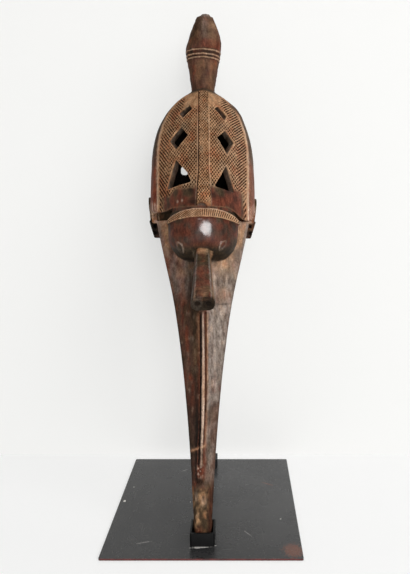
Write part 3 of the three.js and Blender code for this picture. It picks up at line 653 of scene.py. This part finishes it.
def nose_colour_light_and_shade(skin, wood, small, broad):
    """Tube nose with grey edges as a painted highlight, a tan patch at its root, and two dark discs on its
    end, partly painted shade.
    """
    top, down, aside = skin.nose_top, skin.down, skin.nose_side / skin.nose_radius
    streaks = skin.noise((9, 9, 22), 34)
    # Grey lines along the raised edges: painted highlight
    grey = ramp(skin.nose_edge, 1.7, 0.7) * ramp(down, 0.05, 0.16)
    wood.ash += 0.7 * grey * top * (0.7 + 0.5 * small)
    wood.red += 0.5 * top * ramp(streaks, -0.2, 0.3)
    wood.olive += 0.6 * skin.nose * ramp(streaks, 0.2, -0.3)
    wood.tan += 0.75 * top * ramp(np.abs(aside), 0.7, 0.5) * ramp(down, 0.15, 0.05) * (0.8 + 0.5 * small)
    wood.tan += 0.5 * skin.nose * ramp(aside, 0.75, 0.95) * ramp(down, 0.96, 0.9)
    drawn = skin.noise((4, 9, 20), 38)
    wood.tan += 0.45 * top * ramp(down, 0.7, 0.9) * ramp(drawn, -0.1, 0.4)
    wood.gloss += 0.36 * skin.nose * ramp(down, 0.99, 0.94)
    # The end faces down, and its darkness is partly painted shade
    end = skin.nose * ramp(down, 0.965, 0.99)
    wood.soot += end * np.where(skin.nose_side < 0, 0.5, 0.7) + 0.14 * skin.nose
    wood.soot += 0.85 * skin.nose * ramp(skin.nose_reach, 0.84, 0.76) * ramp(down, 0.7, 0.8) * (1 - end)
    wood.olive += end
    wood.ash += 0.3 * end * ramp(skin.nose_side, 2, -4)


def cheek_finish(skin, wood, small, broad):
    """Cheeks and the upper ends of both planes."""
    u, w, roof, half = skin.u, skin.w, skin.roof, beak_half(skin.w)
    cheek = roof * ramp(w, 585, 612)
    wood.tan += cheek * (0.62 + 0.3 * small) * ramp(np.abs(u), half - 3, half - 9)
    wood.ash += 0.55 * cheek
    wood.bare += 0.3 * roof * within(w, 649, 655, 2) * ramp(np.abs(u), 66, 72)
    pale_patches = (((40, 562), (25, 20), 0.8), ((42, 503), (15, 14), 0.45), ((52, 600), (12, 22), 0.8))
    for centre, reach, amount in pale_patches:
        wood.tan += amount * skin.right * blob(u, w, centre, reach) * (0.85 + 0.5 * small)
    wood.tan += 0.5 * skin.left * blob(u, w, (-30, 562), (16, 18)) * ramp(small, -0.2, 0.3)
    wood.ash += 0.36 * skin.left * within(w, 510, 590, 28) * ramp(broad + small, -0.5, 0.3)
    wood.olive += skin.right * 0.7 * blob(u, w, (52, 545), (20, 30)) * (0.8 + 0.5 * small)


def right_plane_finish(skin, wood, small, broad):
    """Grey patina down to its slanting boundary, and brown below it."""
    u, w, right = skin.u, skin.w, skin.right
    from_boundary = w - 262 - 0.55 * u
    patina = right * ramp(from_boundary, 0, 12) * ramp(w, 620, 560)
    wood.ash += patina * (0.75 + 0.25 * broad + 0.25 * small)
    wood.bare += 0.35 * patina * ramp(skin.noise((6, 6, 15), 24) + 0.4 * small, 0.3, 0.8)
    below = right * ramp(from_boundary, 14, 0) * skin.above_tip
    wood.ash += below * (0.2 + 0.3 * ramp(small, -0.1, 0.5))
    wood.red += below * (0.05 + 0.25 * ramp(skin.across, 16, 23))
    wood.olive += 0.5 * below
    wood.soot += 0.4 * skin.roof * within(from_boundary, 0, 6, 3) * ramp(u, 8, 14)
    wood.soot += 0.6 * right * (blob(u, w, (38, 528), (24, 3.5)) + blob(u, w, (40, 483), (20, 1.8)))


def left_plane_colour_and_shade(skin, wood, small, broad):
    """Red outside, olive towards the keel, and painted shade over it, deepest low down and towards the keel
    below the nose.
    """
    u, w, half = skin.u, skin.w, beak_half(skin.w)
    left, dressed = skin.left, skin.left * skin.above_tip
    streaks = skin.noise((8, 8, 46), 35)
    outer = ramp(-skin.across / half, 0.3, 0.62)
    wood.red += left * (0.8 * outer * ramp(w, 225, 330) * ramp(streaks + 0.8 * small, -0.3, 0.5) + 0.1)
    wood.tan += 0.25 * left * ramp(w, 440, 540) * ramp(small + streaks, 0.35, 0.8)
    wood.olive += left * (1 - outer) * ramp(streaks, 0.3, -0.4)
    # Painted shade: a little over the whole plane, more low down and near the keel below the nose
    inner = (1 - outer) * ramp(w, 590, 520)
    shadow = 0.2 + 0.25 * ramp(w, 330, 250) + inner * (0.35 + 0.4 * ramp(streaks, -0.1, 0.5))
    wood.soot += dressed * shadow
    wood.bare += 0.5 * dressed * ramp(skin.noise((3.4, 3.4, 3.4), 39), 0.62, 0.8)
    wood.soot += 0.35 * skin.roof * within(np.abs(u), half - 2.5, half, 1.5) * ramp(w, 560, 530)
    wood.tan += 0.6 * left * blob(u, w, (-16, 382), (3.0, 22))
    wood.gloss += 0.22 * left


def keel_colour_and_shade(skin, wood, small, broad):
    """Pale crest, black cut on its left as painted shade, brown cut on its right, and orange lines outside
    them.
    """
    w, across = skin.w, skin.across
    keel = ramp(w, KEEL.start - 4, KEEL.start + 4) * ramp(w, KEEL.end + 2, KEEL.end - 10)
    crest_half = np.interp(w, (170, 220, 285, 340, 420), (1.6, 1.9, 2.6, 2.6, 1.5))
    crest = ramp(np.abs(across), crest_half + 0.8, crest_half - 0.3) * (skin.v < ridge_depth(w) + 3) * keel
    worn = np.interp(w, (180, 240, 385, 420), (0.55, 1.0, 0.95, 0.6))
    wood.bare += crest * worn * (0.85 + 0.25 * small)
    grooved = skin.in_front * keel
    # Painted shade in the left cut, on the side away from the light
    wood.soot += grooved * within(across, -6.2, -crest_half - 0.6, 0.5)
    wood.soot += 0.3 * grooved * within(across, crest_half + 0.8, 5.5, 0.6)
    orange = np.interp(w, (190, 215, 290, 340), (0, 0.3, 0.3, 0.6))
    wood.tan += orange * grooved * within(across, 6.6, 8.8, 0.9)
    wood.tan += 0.5 * grooved * within(across, -10.2, -7.6, 0.9) * ramp(w, 360, 400)
    beside = within(across, 4, 10, 1) + within(across, -11, -6, 1)
    wood.red += grooved * beside * np.interp(w, (270, 330), (0.4, 0.7))


def break_finish(skin, wood, small, broad):
    """Torn end of the keel, and the pale scar that runs down from it to the left."""
    u, w = skin.u, skin.w
    torn = ramp(skin.noise((4, 4, 4), 42), 0, 0.4)
    wood.bare += 0.7 * blob(u, w, (-6, 147), (9, 13)) * skin.in_front * torn
    wood.red += 0.8 * blob(u, w, (-6, 147), (12, 18)) * skin.in_front
    wood.soot += 0.8 * blob(u, w, (-9, 126), (9, 6)) * skin.in_front
    scar = blob(u, w - 0.55 * u, (-12, 198), (20, 3.0)) * skin.roof * ramp(u, 6, 2)
    wood.soot *= 1 - 0.9 * scar
    wood.tan += 0.9 * scar
    wood.bare += 0.15 * scar


def tip_finish(skin, wood, small, broad):
    u, w = skin.u, skin.w
    tip = ramp(w, TIP_HEIGHT + 6, TIP_HEIGHT - 4) * ramp(skin.normals[:, 1], 0.3, -0.3)
    flecks = skin.noise((5, 5, 9), 36) + 0.5 * skin.noise((3, 3, 5), 40)
    wood.olive += 0.8 * tip
    wood.tan += tip * ramp(flecks, -0.2, 0.6) * ramp(u, 14, 8) * 0.75
    wood.bare += 0.3 * tip * (blob(u, w, (2, 86), (5, 8)) + blob(u, w, (-14, 96), (3, 9)))
    wood.red += 0.45 * tip * ramp(u, 7, 14)
    wood.red += 0.9 * tip * blob(u, w, (-8, 18), (9, 14)) * ramp(small, -0.4, 0.3)
    wood.soot += tip * (0.3 * ramp(flecks, 0.0, -0.5) + 0.3 * ramp(u, 8, 13))


def finial_colour_light_and_shade(skin, wood, small, broad):
    u, w, finial = skin.u, skin.w, skin.finial
    # Painted shade on the left side above the rings, away from the light
    dark = ramp(u, 10, -8) * ramp(w, 1030, 1045)
    wood.olive += finial * (0.7 * dark + 0.3 * ramp(small, 0.0, 0.5))
    wood.ash += finial * (0.28 * blob(u, w, (3, 1070), (10, 26)) + 0.5 * ramp(w, 1092, 1100))
    wood.red += finial * (0.2 + 0.7 * within(w, 1030, 1044, 6) * ramp(broad + small, -0.4, 0.4))
    # Painted light on the right side
    wood.tan += 0.6 * finial * blob(u, w, (21, 1070), (9, 30)) * (0.7 + 0.5 * small)
    wood.tan += 0.15 * finial * ramp(w, 1003, 998) * ramp(small, -0.2, 0.5)
    wood.soot += 0.35 * finial * ramp(skin.noise((8, 8, 14), 41), 0.0, 0.6)
    rings = sum(within(w, at - 0.8, at + 1.0, 0.8) for at in RING_HEIGHTS) * finial
    worn = np.clip(0.7 + 0.8 * skin.noise((12, 12, 4), 37), 0.25, 1)
    wood.bare += 0.4 * rings * worn
    wood.tan += 0.6 * rings
    between_rings = within(w, min(RING_HEIGHTS) - 2.5, max(RING_HEIGHTS) + 3, 1)
    wood.soot += 0.6 * between_rings * finial * (1 - np.clip(rings, 0, 1))
    wood.gloss += 0.2 * finial


def hollow_darkening(skin, wood, small, broad):
    """Darker at the back below the hood, and dark inside the head."""
    u, v, w = skin.u, skin.v, skin.w
    wood.soot += ramp(v, 60, 120) * 0.25 * (w < 670)
    inside = (np.abs(u) < 0.62 * beak_half(w) + 1) * within(w, 503, 690, 2) * (v > 42)
    wood.soot = np.maximum(wood.soot, 0.9 * inside * ramp(skin.normals[:, 1], 0.6, 0.2))


# Steps that lay the wood's colour layers, painted light and shade among them
COLOUR_STEPS = (
    panel_colour_and_light, brow_finish, rim_colour_light_and_shade, comb_colour_and_shade, dome_colour_light_and_shade, ear_finish, nose_colour_light_and_shade,
    cheek_finish, right_plane_finish, left_plane_colour_and_shade, keel_colour_and_shade, break_finish, tip_finish,
    finial_colour_light_and_shade, hollow_darkening,
)


def colour_layers(skin):
    wood = Form(**{name: np.zeros(len(skin.points)) for name in LAYERS})
    broad = skin.noise((34, 34, 60), 21)
    small = skin.noise((9, 9, 14), 22)
    for finish in COLOUR_STEPS:
        finish(skin, wood, small, broad)
    return vars(wood)


def make_mask():
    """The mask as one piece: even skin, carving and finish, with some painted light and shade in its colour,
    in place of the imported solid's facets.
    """
    piece = merged_copy("mask", "carved_mask")
    remake(piece, "REMESH", mode="VOXEL", voxel_size=VOXEL * MM)
    smooth_facets(piece)
    recut_eyes(piece)
    split_carved_faces(piece)

    skin = Skin(piece.data)
    pits = carved_pits(skin)
    set_attribute(piece.data, "pits", pits)
    for name, values in colour_layers(skin).items():
        set_attribute(piece.data, name, np.clip(values, 0, 1))
    heights = tool_marks(skin) - HATCH_DEPTH * pits
    carved = skin.points + skin.normals * heights[:, None]
    carved[:, 2] -= brow_fall(skin)
    skin.place(carved)

    triangles = sum(len(face.vertices) - 2 for face in piece.data.polygons)
    remake(piece, "DECIMATE", ratio=min(1.0, MOST_TRIANGLES / triangles), use_collapse_triangulate=True)
    piece.data.shade_smooth()
    piece.data.materials.clear()
    piece.data.materials.append(carved_wood())
    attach(piece, "root")
    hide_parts("mask")


# Materials

def feed(node, inputs):
    """Sets a node's inputs, which are given as values or as other nodes' outputs."""
    for name, value in inputs.items():
        if isinstance(value, bpy.types.NodeSocket):
            node.id_data.links.new(value, node.inputs[name])
        else:
            node.inputs[name].default_value = value


def add_node(tree, kind, inputs=None, **settings):
    node = tree.nodes.new(kind)
    for name, value in settings.items():
        setattr(node, name, value)
    feed(node, inputs or {})
    return node


def mix_colour(tree, factor, below, above):
    inputs = {0: factor, 6: below, 7: above}
    return add_node(tree, "ShaderNodeMix", inputs, data_type="RGBA").outputs[2]


def maths(tree, operation, first, second=0.0, clamp=False):
    node = add_node(tree, "ShaderNodeMath", {0: first, 1: second}, operation=operation, use_clamp=clamp)
    return node.outputs[0]


def spread(tree, value, low, high, start=0.0, end=1.0):
    """Maps a value from low..high to start..end, clamped."""
    inputs = {"Value": value, "From Min": low, "From Max": high, "To Min": start, "To Max": end}
    return add_node(tree, "ShaderNodeMapRange", inputs).outputs["Result"]


def two_tone(tree, pattern, low, high, dark, light):
    """Colour that goes from dark to light as the pattern goes from low to high."""
    return mix_colour(tree, spread(tree, pattern, low, high), srgb(*dark), srgb(*light))


def noise(tree, place, scale, detail=4.0, roughness=0.55, distortion=0.0):
    inputs = {"Vector": place, "Scale": scale, "Detail": detail, "Roughness": roughness}
    return add_node(tree, "ShaderNodeTexNoise", {**inputs, "Distortion": distortion}).outputs["Fac"]


def stretched(tree, scale, rotation=(0, 0, 0)):
    """Object coordinates with a pattern drawn out along one way."""
    place = add_node(tree, "ShaderNodeTexCoord").outputs["Object"]
    inputs = {"Vector": place, "Rotation": rotation, "Scale": scale}
    return add_node(tree, "ShaderNodeMapping", inputs).outputs[0]


def scaled(tree, colour, amount):
    return add_node(tree, "ShaderNodeVectorMath", {0: colour, "Scale": amount}, operation="SCALE").outputs[0]


def surface_layer(tree, name):
    return add_node(tree, "ShaderNodeAttribute", attribute_name=name).outputs["Fac"]


def patchy(tree, amount, pattern, low, high, least=0.0):
    """A layer's amount, broken up by a pattern that thins it to the least share."""
    return maths(tree, "MULTIPLY", amount, spread(tree, pattern, low, high, least, 1))


def new_material(name):
    material = bpy.data.materials.new(name)
    material.use_nodes = True
    tree = material.node_tree
    tree.nodes.clear()
    shader = add_node(tree, "ShaderNodeBsdfPrincipled")
    add_node(tree, "ShaderNodeOutputMaterial", {"Surface": shader.outputs[0]})
    return material, tree, shader


def carved_wood():
    material, tree, shader = new_material("carved_wood")
    lean = (math.radians(STANCE.lean), 0, 0)
    along = stretched(tree, (1, 1, 0.12), lean)
    drawn = stretched(tree, (1, 1, 0.4), lean)
    place = stretched(tree, (1, 1, 1))
    fibre = noise(tree, along, 420, 5, 0.6)
    streak = noise(tree, along, 90, 4, 0.6, 0.4)
    smear = noise(tree, drawn, 130, 5, 0.62, 0.3)
    mottle = noise(tree, place, 75, 5, 0.62, 0.3)
    tone = noise(tree, drawn, 62, 5, 0.65, 0.5)
    patch = noise(tree, place, 19, 4, 0.55)
    tint = noise(tree, place, 33, 4, 0.6, 0.4)
    speck = noise(tree, place, 260, 3, 0.6)
    tan, ash, bare, gloss, red, olive, soot = (surface_layer(tree, name) for name in LAYERS)
    pits = surface_layer(tree, "pits")

    colour = two_tone(tree, streak, 0.33, 0.68, (58, 42, 35), (94, 70, 57))
    moss = two_tone(tree, smear, 0.33, 0.67, (42, 34, 23), (80, 65, 45))
    ochre = two_tone(tree, smear, 0.33, 0.67, (76, 33, 24), (128, 68, 47))
    colour = mix_colour(tree, spread(tree, tone, 0.53, 0.62, 0, 0.55), colour, ochre)
    colour = mix_colour(tree, spread(tree, tone, 0.47, 0.38, 0, 0.7), colour, moss)
    grey = two_tone(tree, smear, 0.34, 0.66, (96, 84, 76), (166, 154, 144))
    wood = two_tone(tree, mottle, 0.32, 0.7, (130, 92, 62), (196, 154, 116))
    wood = mix_colour(tree, spread(tree, tint, 0.52, 0.64, 0, 0.6), wood, srgb(156, 88, 54))
    wood = mix_colour(tree, spread(tree, tint, 0.46, 0.36, 0, 0.5), wood, srgb(144, 124, 100))
    # Pale wood, for bare wood and for painted light
    pale = two_tone(tree, streak, 0.3, 0.7, (176, 140, 114), (222, 198, 178))
    coats = (
        (olive, patch, 0.2, 0.45, 0.6, moss), (red, patch, 0.25, 0.5, 0.45, ochre),
        (ash, streak, 0.3, 0.6, 0.6, grey), (tan, patch, 0.25, 0.5, 0.8, wood),
        (bare, speck, 0.3, 0.5, 0.75, pale),
    )
    for amount, pattern, low, high, least, over in coats:
        colour = mix_colour(tree, patchy(tree, amount, pattern, low, high, least), colour, over)
    cut = two_tone(tree, patch, 0.4, 0.6, (34, 19, 11), (64, 37, 23))
    colour = mix_colour(tree, spread(tree, pits, 0.2, 0.62, 0, 0.95), colour, cut)
    # Near-black, for soot and for painted shade
    black = mix_colour(tree, mottle, srgb(19, 15, 12), srgb(36, 28, 22))
    colour = mix_colour(tree, patchy(tree, soot, patch, 0.25, 0.5, 0.75), colour, black)
    colour = scaled(tree, colour, spread(tree, fibre, 0.3, 0.7, 0.86, 1.12))
    colour = scaled(tree, colour, spread(tree, speck, 0.33, 0.67, 0.76, 1.2))

    rough = spread(tree, gloss, 0, 1, 0.6, 0.2)
    rough = maths(tree, "ADD", rough, maths(tree, "MULTIPLY", tan, 0.2))
    rough = maths(tree, "ADD", rough, spread(tree, mottle, 0.3, 0.7, -0.05, 0.07), clamp=True)
    grazing = add_node(tree, "ShaderNodeLayerWeight", {"Blend": 0.5}).outputs["Facing"]
    facing = spread(tree, grazing, 0.3, 0.8, 1, 0.12)
    coat = maths(tree, "MULTIPLY", spread(tree, gloss, 0.2, 1, 0, 0.9), facing)

    depth = maths(tree, "ADD", maths(tree, "MULTIPLY", fibre, 0.5), maths(tree, "MULTIPLY", mottle, 0.8))
    height = maths(tree, "MULTIPLY", depth, spread(tree, gloss, 0, 1, 1, 0.25))
    bump = add_node(tree, "ShaderNodeBump", {"Strength": 0.35, "Distance": 0.8 * MM, "Height": height})
    feed(shader, {"Base Color": colour, "Roughness": rough, "Normal": bump.outputs[0]})
    feed(shader, {"Coat Weight": coat, "Coat Roughness": 0.2, "Specular IOR Level": 0.04})
    return material


# Marks on the plate: place in millimetres, half sizes, turn in degrees, strength, and whether they are rust
PLATE_MARKS = [
    ((-190, 1), (3.0, 4.5), 0, 1.0, False), ((-180, 61), (1.8, 1.8), 0, 0.8, False),
    ((-38, -3), (1.6, 1.6), 0, 0.7, False), ((165, -69), (1.8, 1.8), 0, 0.8, False),
    ((2, -164), (24, 3.5), 8, 0.9, False), ((182, -175), (20, 22), 20, 0.55, True),
    ((144, 75), (17, 1.8), -30, 0.6, True), ((-66, 140), (9, 1.2), 35, 0.3, False),
    ((92, -120), (12, 1.0), -50, 0.3, False), ((-120, -150), (15, 1.2), 15, 0.3, False),
]


# Paint of each steel piece: its name, its wear, and the share of its lightness that it keeps
STEEL = {
    "base_plate": ("plate_paint", {"Dust": 0.5, "Scratches": 0.35, "Dullness": 0.26}, 1.0),
    "tip_socket": ("socket_paint", {"Dust": 0.1, "Scratches": 0.25, "Dullness": 0.4}, 0.14),
    "rod_foot": ("rod_foot_paint", {"Dust": 0.3, "Scratches": 0.4, "Dullness": 0.4}, 0.25),
    "support_rod": ("rod_paint", {"Dust": 0.15, "Scratches": 0.3, "Dullness": 0.4}, 0.3),
}


def worn_paint_group():
    """Black paint with dust, fine scratches and a cloudy gloss, for every steel piece of the stand."""
    group = bpy.data.node_groups.new("worn_black_paint", "ShaderNodeTree")
    for name in ("Dust", "Scratches", "Dullness"):
        group.interface.new_socket(name, in_out="INPUT", socket_type="NodeSocketFloat")
    for name, kind in (("Colour", "Color"), ("Roughness", "Float"), ("Height", "Float")):
        group.interface.new_socket(name, in_out="OUTPUT", socket_type="NodeSocket" + kind)
    given = add_node(group, "NodeGroupInput")
    place = stretched(group, (1, 1, 1))
    cloud = noise(group, place, 9, 5, 0.6)
    speck = noise(group, place, 620, 2, 0.5)
    long_way = stretched(group, (1, 0.06, 0.3), (0, 0, math.radians(28)))
    other_way = stretched(group, (0.05, 1, 0.3), (0, 0, math.radians(11)))
    one_way, crossing = noise(group, long_way, 340, 2, 0.5), noise(group, other_way, 300, 2, 0.5)
    lines = maths(group, "MAXIMUM", one_way, crossing)
    colour = two_tone(group, cloud, 0.3, 0.7, (34, 34, 35), (50, 50, 50))
    dusty = maths(group, "MULTIPLY", spread(group, speck, 0.66, 0.76), given.outputs["Dust"])
    colour = mix_colour(group, dusty, colour, srgb(150, 146, 140))
    scratched = maths(group, "MULTIPLY", spread(group, lines, 0.7, 0.76), given.outputs["Scratches"])
    colour = mix_colour(group, scratched, colour, srgb(92, 90, 88))
    dull = maths(group, "MULTIPLY", spread(group, cloud, 0.3, 0.7, 0.75, 1.3), given.outputs["Dullness"])
    rough = maths(group, "ADD", dull, maths(group, "MULTIPLY", scratched, 0.25))
    height = maths(group, "SUBTRACT", speck, scratched)
    add_node(group, "NodeGroupOutput", {"Colour": colour, "Roughness": rough, "Height": height})
    return group


def marked(tree, place, colour, marks):
    """Colour with chips, scratches and rust patches laid over it at their places on the plate."""
    ragged = noise(tree, place, 260, 3, 0.6)
    rusty = mix_colour(tree, ragged, srgb(92, 44, 32), srgb(150, 92, 62))
    for (x, y), (length, width), turn, strength, rust in marks:
        settings = {
            "Vector": place, "Location": (x * MM, y * MM, PLATE.thickness * MM),
            "Rotation": (0, 0, math.radians(turn)), "Scale": (length * MM, width * MM, 3 * MM),
        }
        near = add_node(tree, "ShaderNodeMapping", settings, vector_type="TEXTURE").outputs[0]
        far = add_node(tree, "ShaderNodeVectorMath", {0: near}, operation="LENGTH").outputs["Value"]
        edge = maths(tree, "ADD", far, spread(tree, ragged, 0.3, 0.7, -0.45, 0.45))
        amount = spread(tree, edge, 1.05, 0.75, 0, strength)
        colour = mix_colour(tree, amount, colour, rusty if rust else srgb(206, 202, 196))
    return colour


def plate_colour(tree, colour):
    """Plate's paint, lighter towards its back right as a painted reflection of the wall, with its marks and
    its red front edge.
    """
    place = stretched(tree, (1, 1, 1))
    parts = add_node(tree, "ShaderNodeSeparateXYZ", {0: place}).outputs
    # Painted reflection of the bright wall: lighter towards the back right
    back_right = maths(tree, "ADD", parts["X"], parts["Y"])
    colour = scaled(tree, colour, spread(tree, back_right, -0.05, 0.2, 1.0, 1.7))
    colour = marked(tree, place, colour, PLATE_MARKS)
    front = -PLATE.side / 2 * MM
    near_front = spread(tree, parts["Y"], front + 0.8 * MM, front + 0.4 * MM)
    worn = noise(tree, place, 60, 4, 0.6)
    red_paint = two_tone(tree, worn, 0.35, 0.65, (60, 20, 20), (98, 38, 34))
    return mix_colour(tree, near_front, colour, red_paint)


def painted_steel(group, name, wear, shade):
    """Steel of one piece of the stand: the shared paint, darkened by the shade."""
    material, tree, shader = new_material(name)
    coat = add_node(tree, "ShaderNodeGroup", wear, node_tree=group).outputs
    colour = coat["Colour"]
    if name == "plate_paint":
        colour = plate_colour(tree, colour)
    inputs = {"Strength": 0.06, "Distance": 0.2 * MM, "Height": coat["Height"]}
    bump = add_node(tree, "ShaderNodeBump", inputs).outputs[0]
    feed(shader, {"Base Color": scaled(tree, colour, shade), "Roughness": coat["Roughness"]})
    feed(shader, {"Specular IOR Level": 0.5 * math.sqrt(shade), "Normal": bump})
    return material


def dress_steel():
    group = worn_paint_group()
    for node, paint in STEEL.items():
        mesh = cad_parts[node].data
        mesh.materials.clear()
        mesh.materials.append(painted_steel(group, *paint))


# Studio

def flat_stage(name, size, place, turn, colour, glow, clear_behind=False):
    """Flat stage piece that glows like lit paper: a floor, or a wall that isn't seen from behind."""
    sheet = bmesh.new()
    bmesh.ops.create_grid(sheet, x_segments=1, y_segments=1, size=0.5)
    bmesh.ops.scale(sheet, vec=(*size, 1), verts=sheet.verts)
    bmesh.ops.rotate(sheet, matrix=Matrix.Rotation(math.radians(turn), 3, "X"), verts=sheet.verts)
    bmesh.ops.translate(sheet, vec=place, verts=sheet.verts)
    mesh = bpy.data.meshes.new(name)
    sheet.to_mesh(mesh)
    sheet.free()
    piece = new_piece(name, mesh)
    material, tree, shader = new_material(name)
    feed(shader, {"Base Color": colour, "Roughness": 0.9})
    feed(shader, {"Emission Color": (1, 1, 0.99, 1), "Emission Strength": glow})
    if clear_behind:
        clear = add_node(tree, "ShaderNodeBsdfTransparent")
        behind = add_node(tree, "ShaderNodeNewGeometry").outputs["Backfacing"]
        inputs = {0: behind, 1: shader.outputs[0], 2: clear.outputs[0]}
        shown = add_node(tree, "ShaderNodeMixShader", inputs)
        feed(tree.nodes["Material Output"], {"Surface": shown.outputs[0]})
    mesh.materials.append(material)


def softbox(name, place, target, size, power, mirrored=False):
    """Area light that either lights the surfaces or is only mirrored in the glossy ones."""
    light = bpy.data.lights.new(name, "AREA")
    light.shape = "ELLIPSE" if mirrored else "RECTANGLE"
    light.size, light.size_y = size
    light.energy = power
    lamp = new_piece(name, light)
    lamp.visible_diffuse = not mirrored
    lamp.visible_glossy = mirrored
    lamp.location = place
    lamp.rotation_euler = (Vector(target) - Vector(place)).to_track_quat("-Z", "Y").to_euler()


def make_studio():
    flat_stage("floor", (8, 8), (0, 0, 0), 0, srgb(178, 178, 178), 0.49)
    flat_stage("wall", (8, 4), (0, WALL_Y * MM, 2), 90, srgb(160, 160, 158), 0.52, clear_behind=True)
    softbox("key_right", (4.2, -3.6, 3.6), (0, 0, 0.55), (4.2, 4.2), 225)
    softbox("front", (0.55, -2.6, 1.3), (0, 0, 0.6), (1.0, 1.9), 34)
    softbox("front_window", (0.5, -2.6, 1.3), (0, 0, 0.6), (1.1, 2.1), 98, mirrored=True)
    softbox("fill_left", (-3.4, -2.2, 1.8), (0, 0, 0.5), (2.4, 2.4), 11)
    world = bpy.data.worlds.new("studio_air")
    bpy.context.scene.world = world
    world.use_nodes = True
    feed(world.node_tree.nodes["Background"], {"Color": (1, 1, 1, 1), "Strength": 0.2})
    bpy.context.scene.view_settings.view_transform = "Standard"


def make_camera():
    lens = bpy.data.cameras.new("camera")
    lens.sensor_width = 36
    lens.lens = CAMERA.focal_pixels / PHOTO.height * lens.sensor_width
    lens.shift_x = (PHOTO.width / 2 - CAMERA.centre_pixel) / PHOTO.height
    lens.clip_start = 0.01
    camera = new_piece("camera", lens)
    camera.location = Vector(CAMERA.place) * MM
    camera.rotation_euler = (math.radians(90 - CAMERA.pitch_down), 0, 0)
    bpy.context.scene.camera = camera


make_camera()
make_studio()
dress_steel()
make_mask()
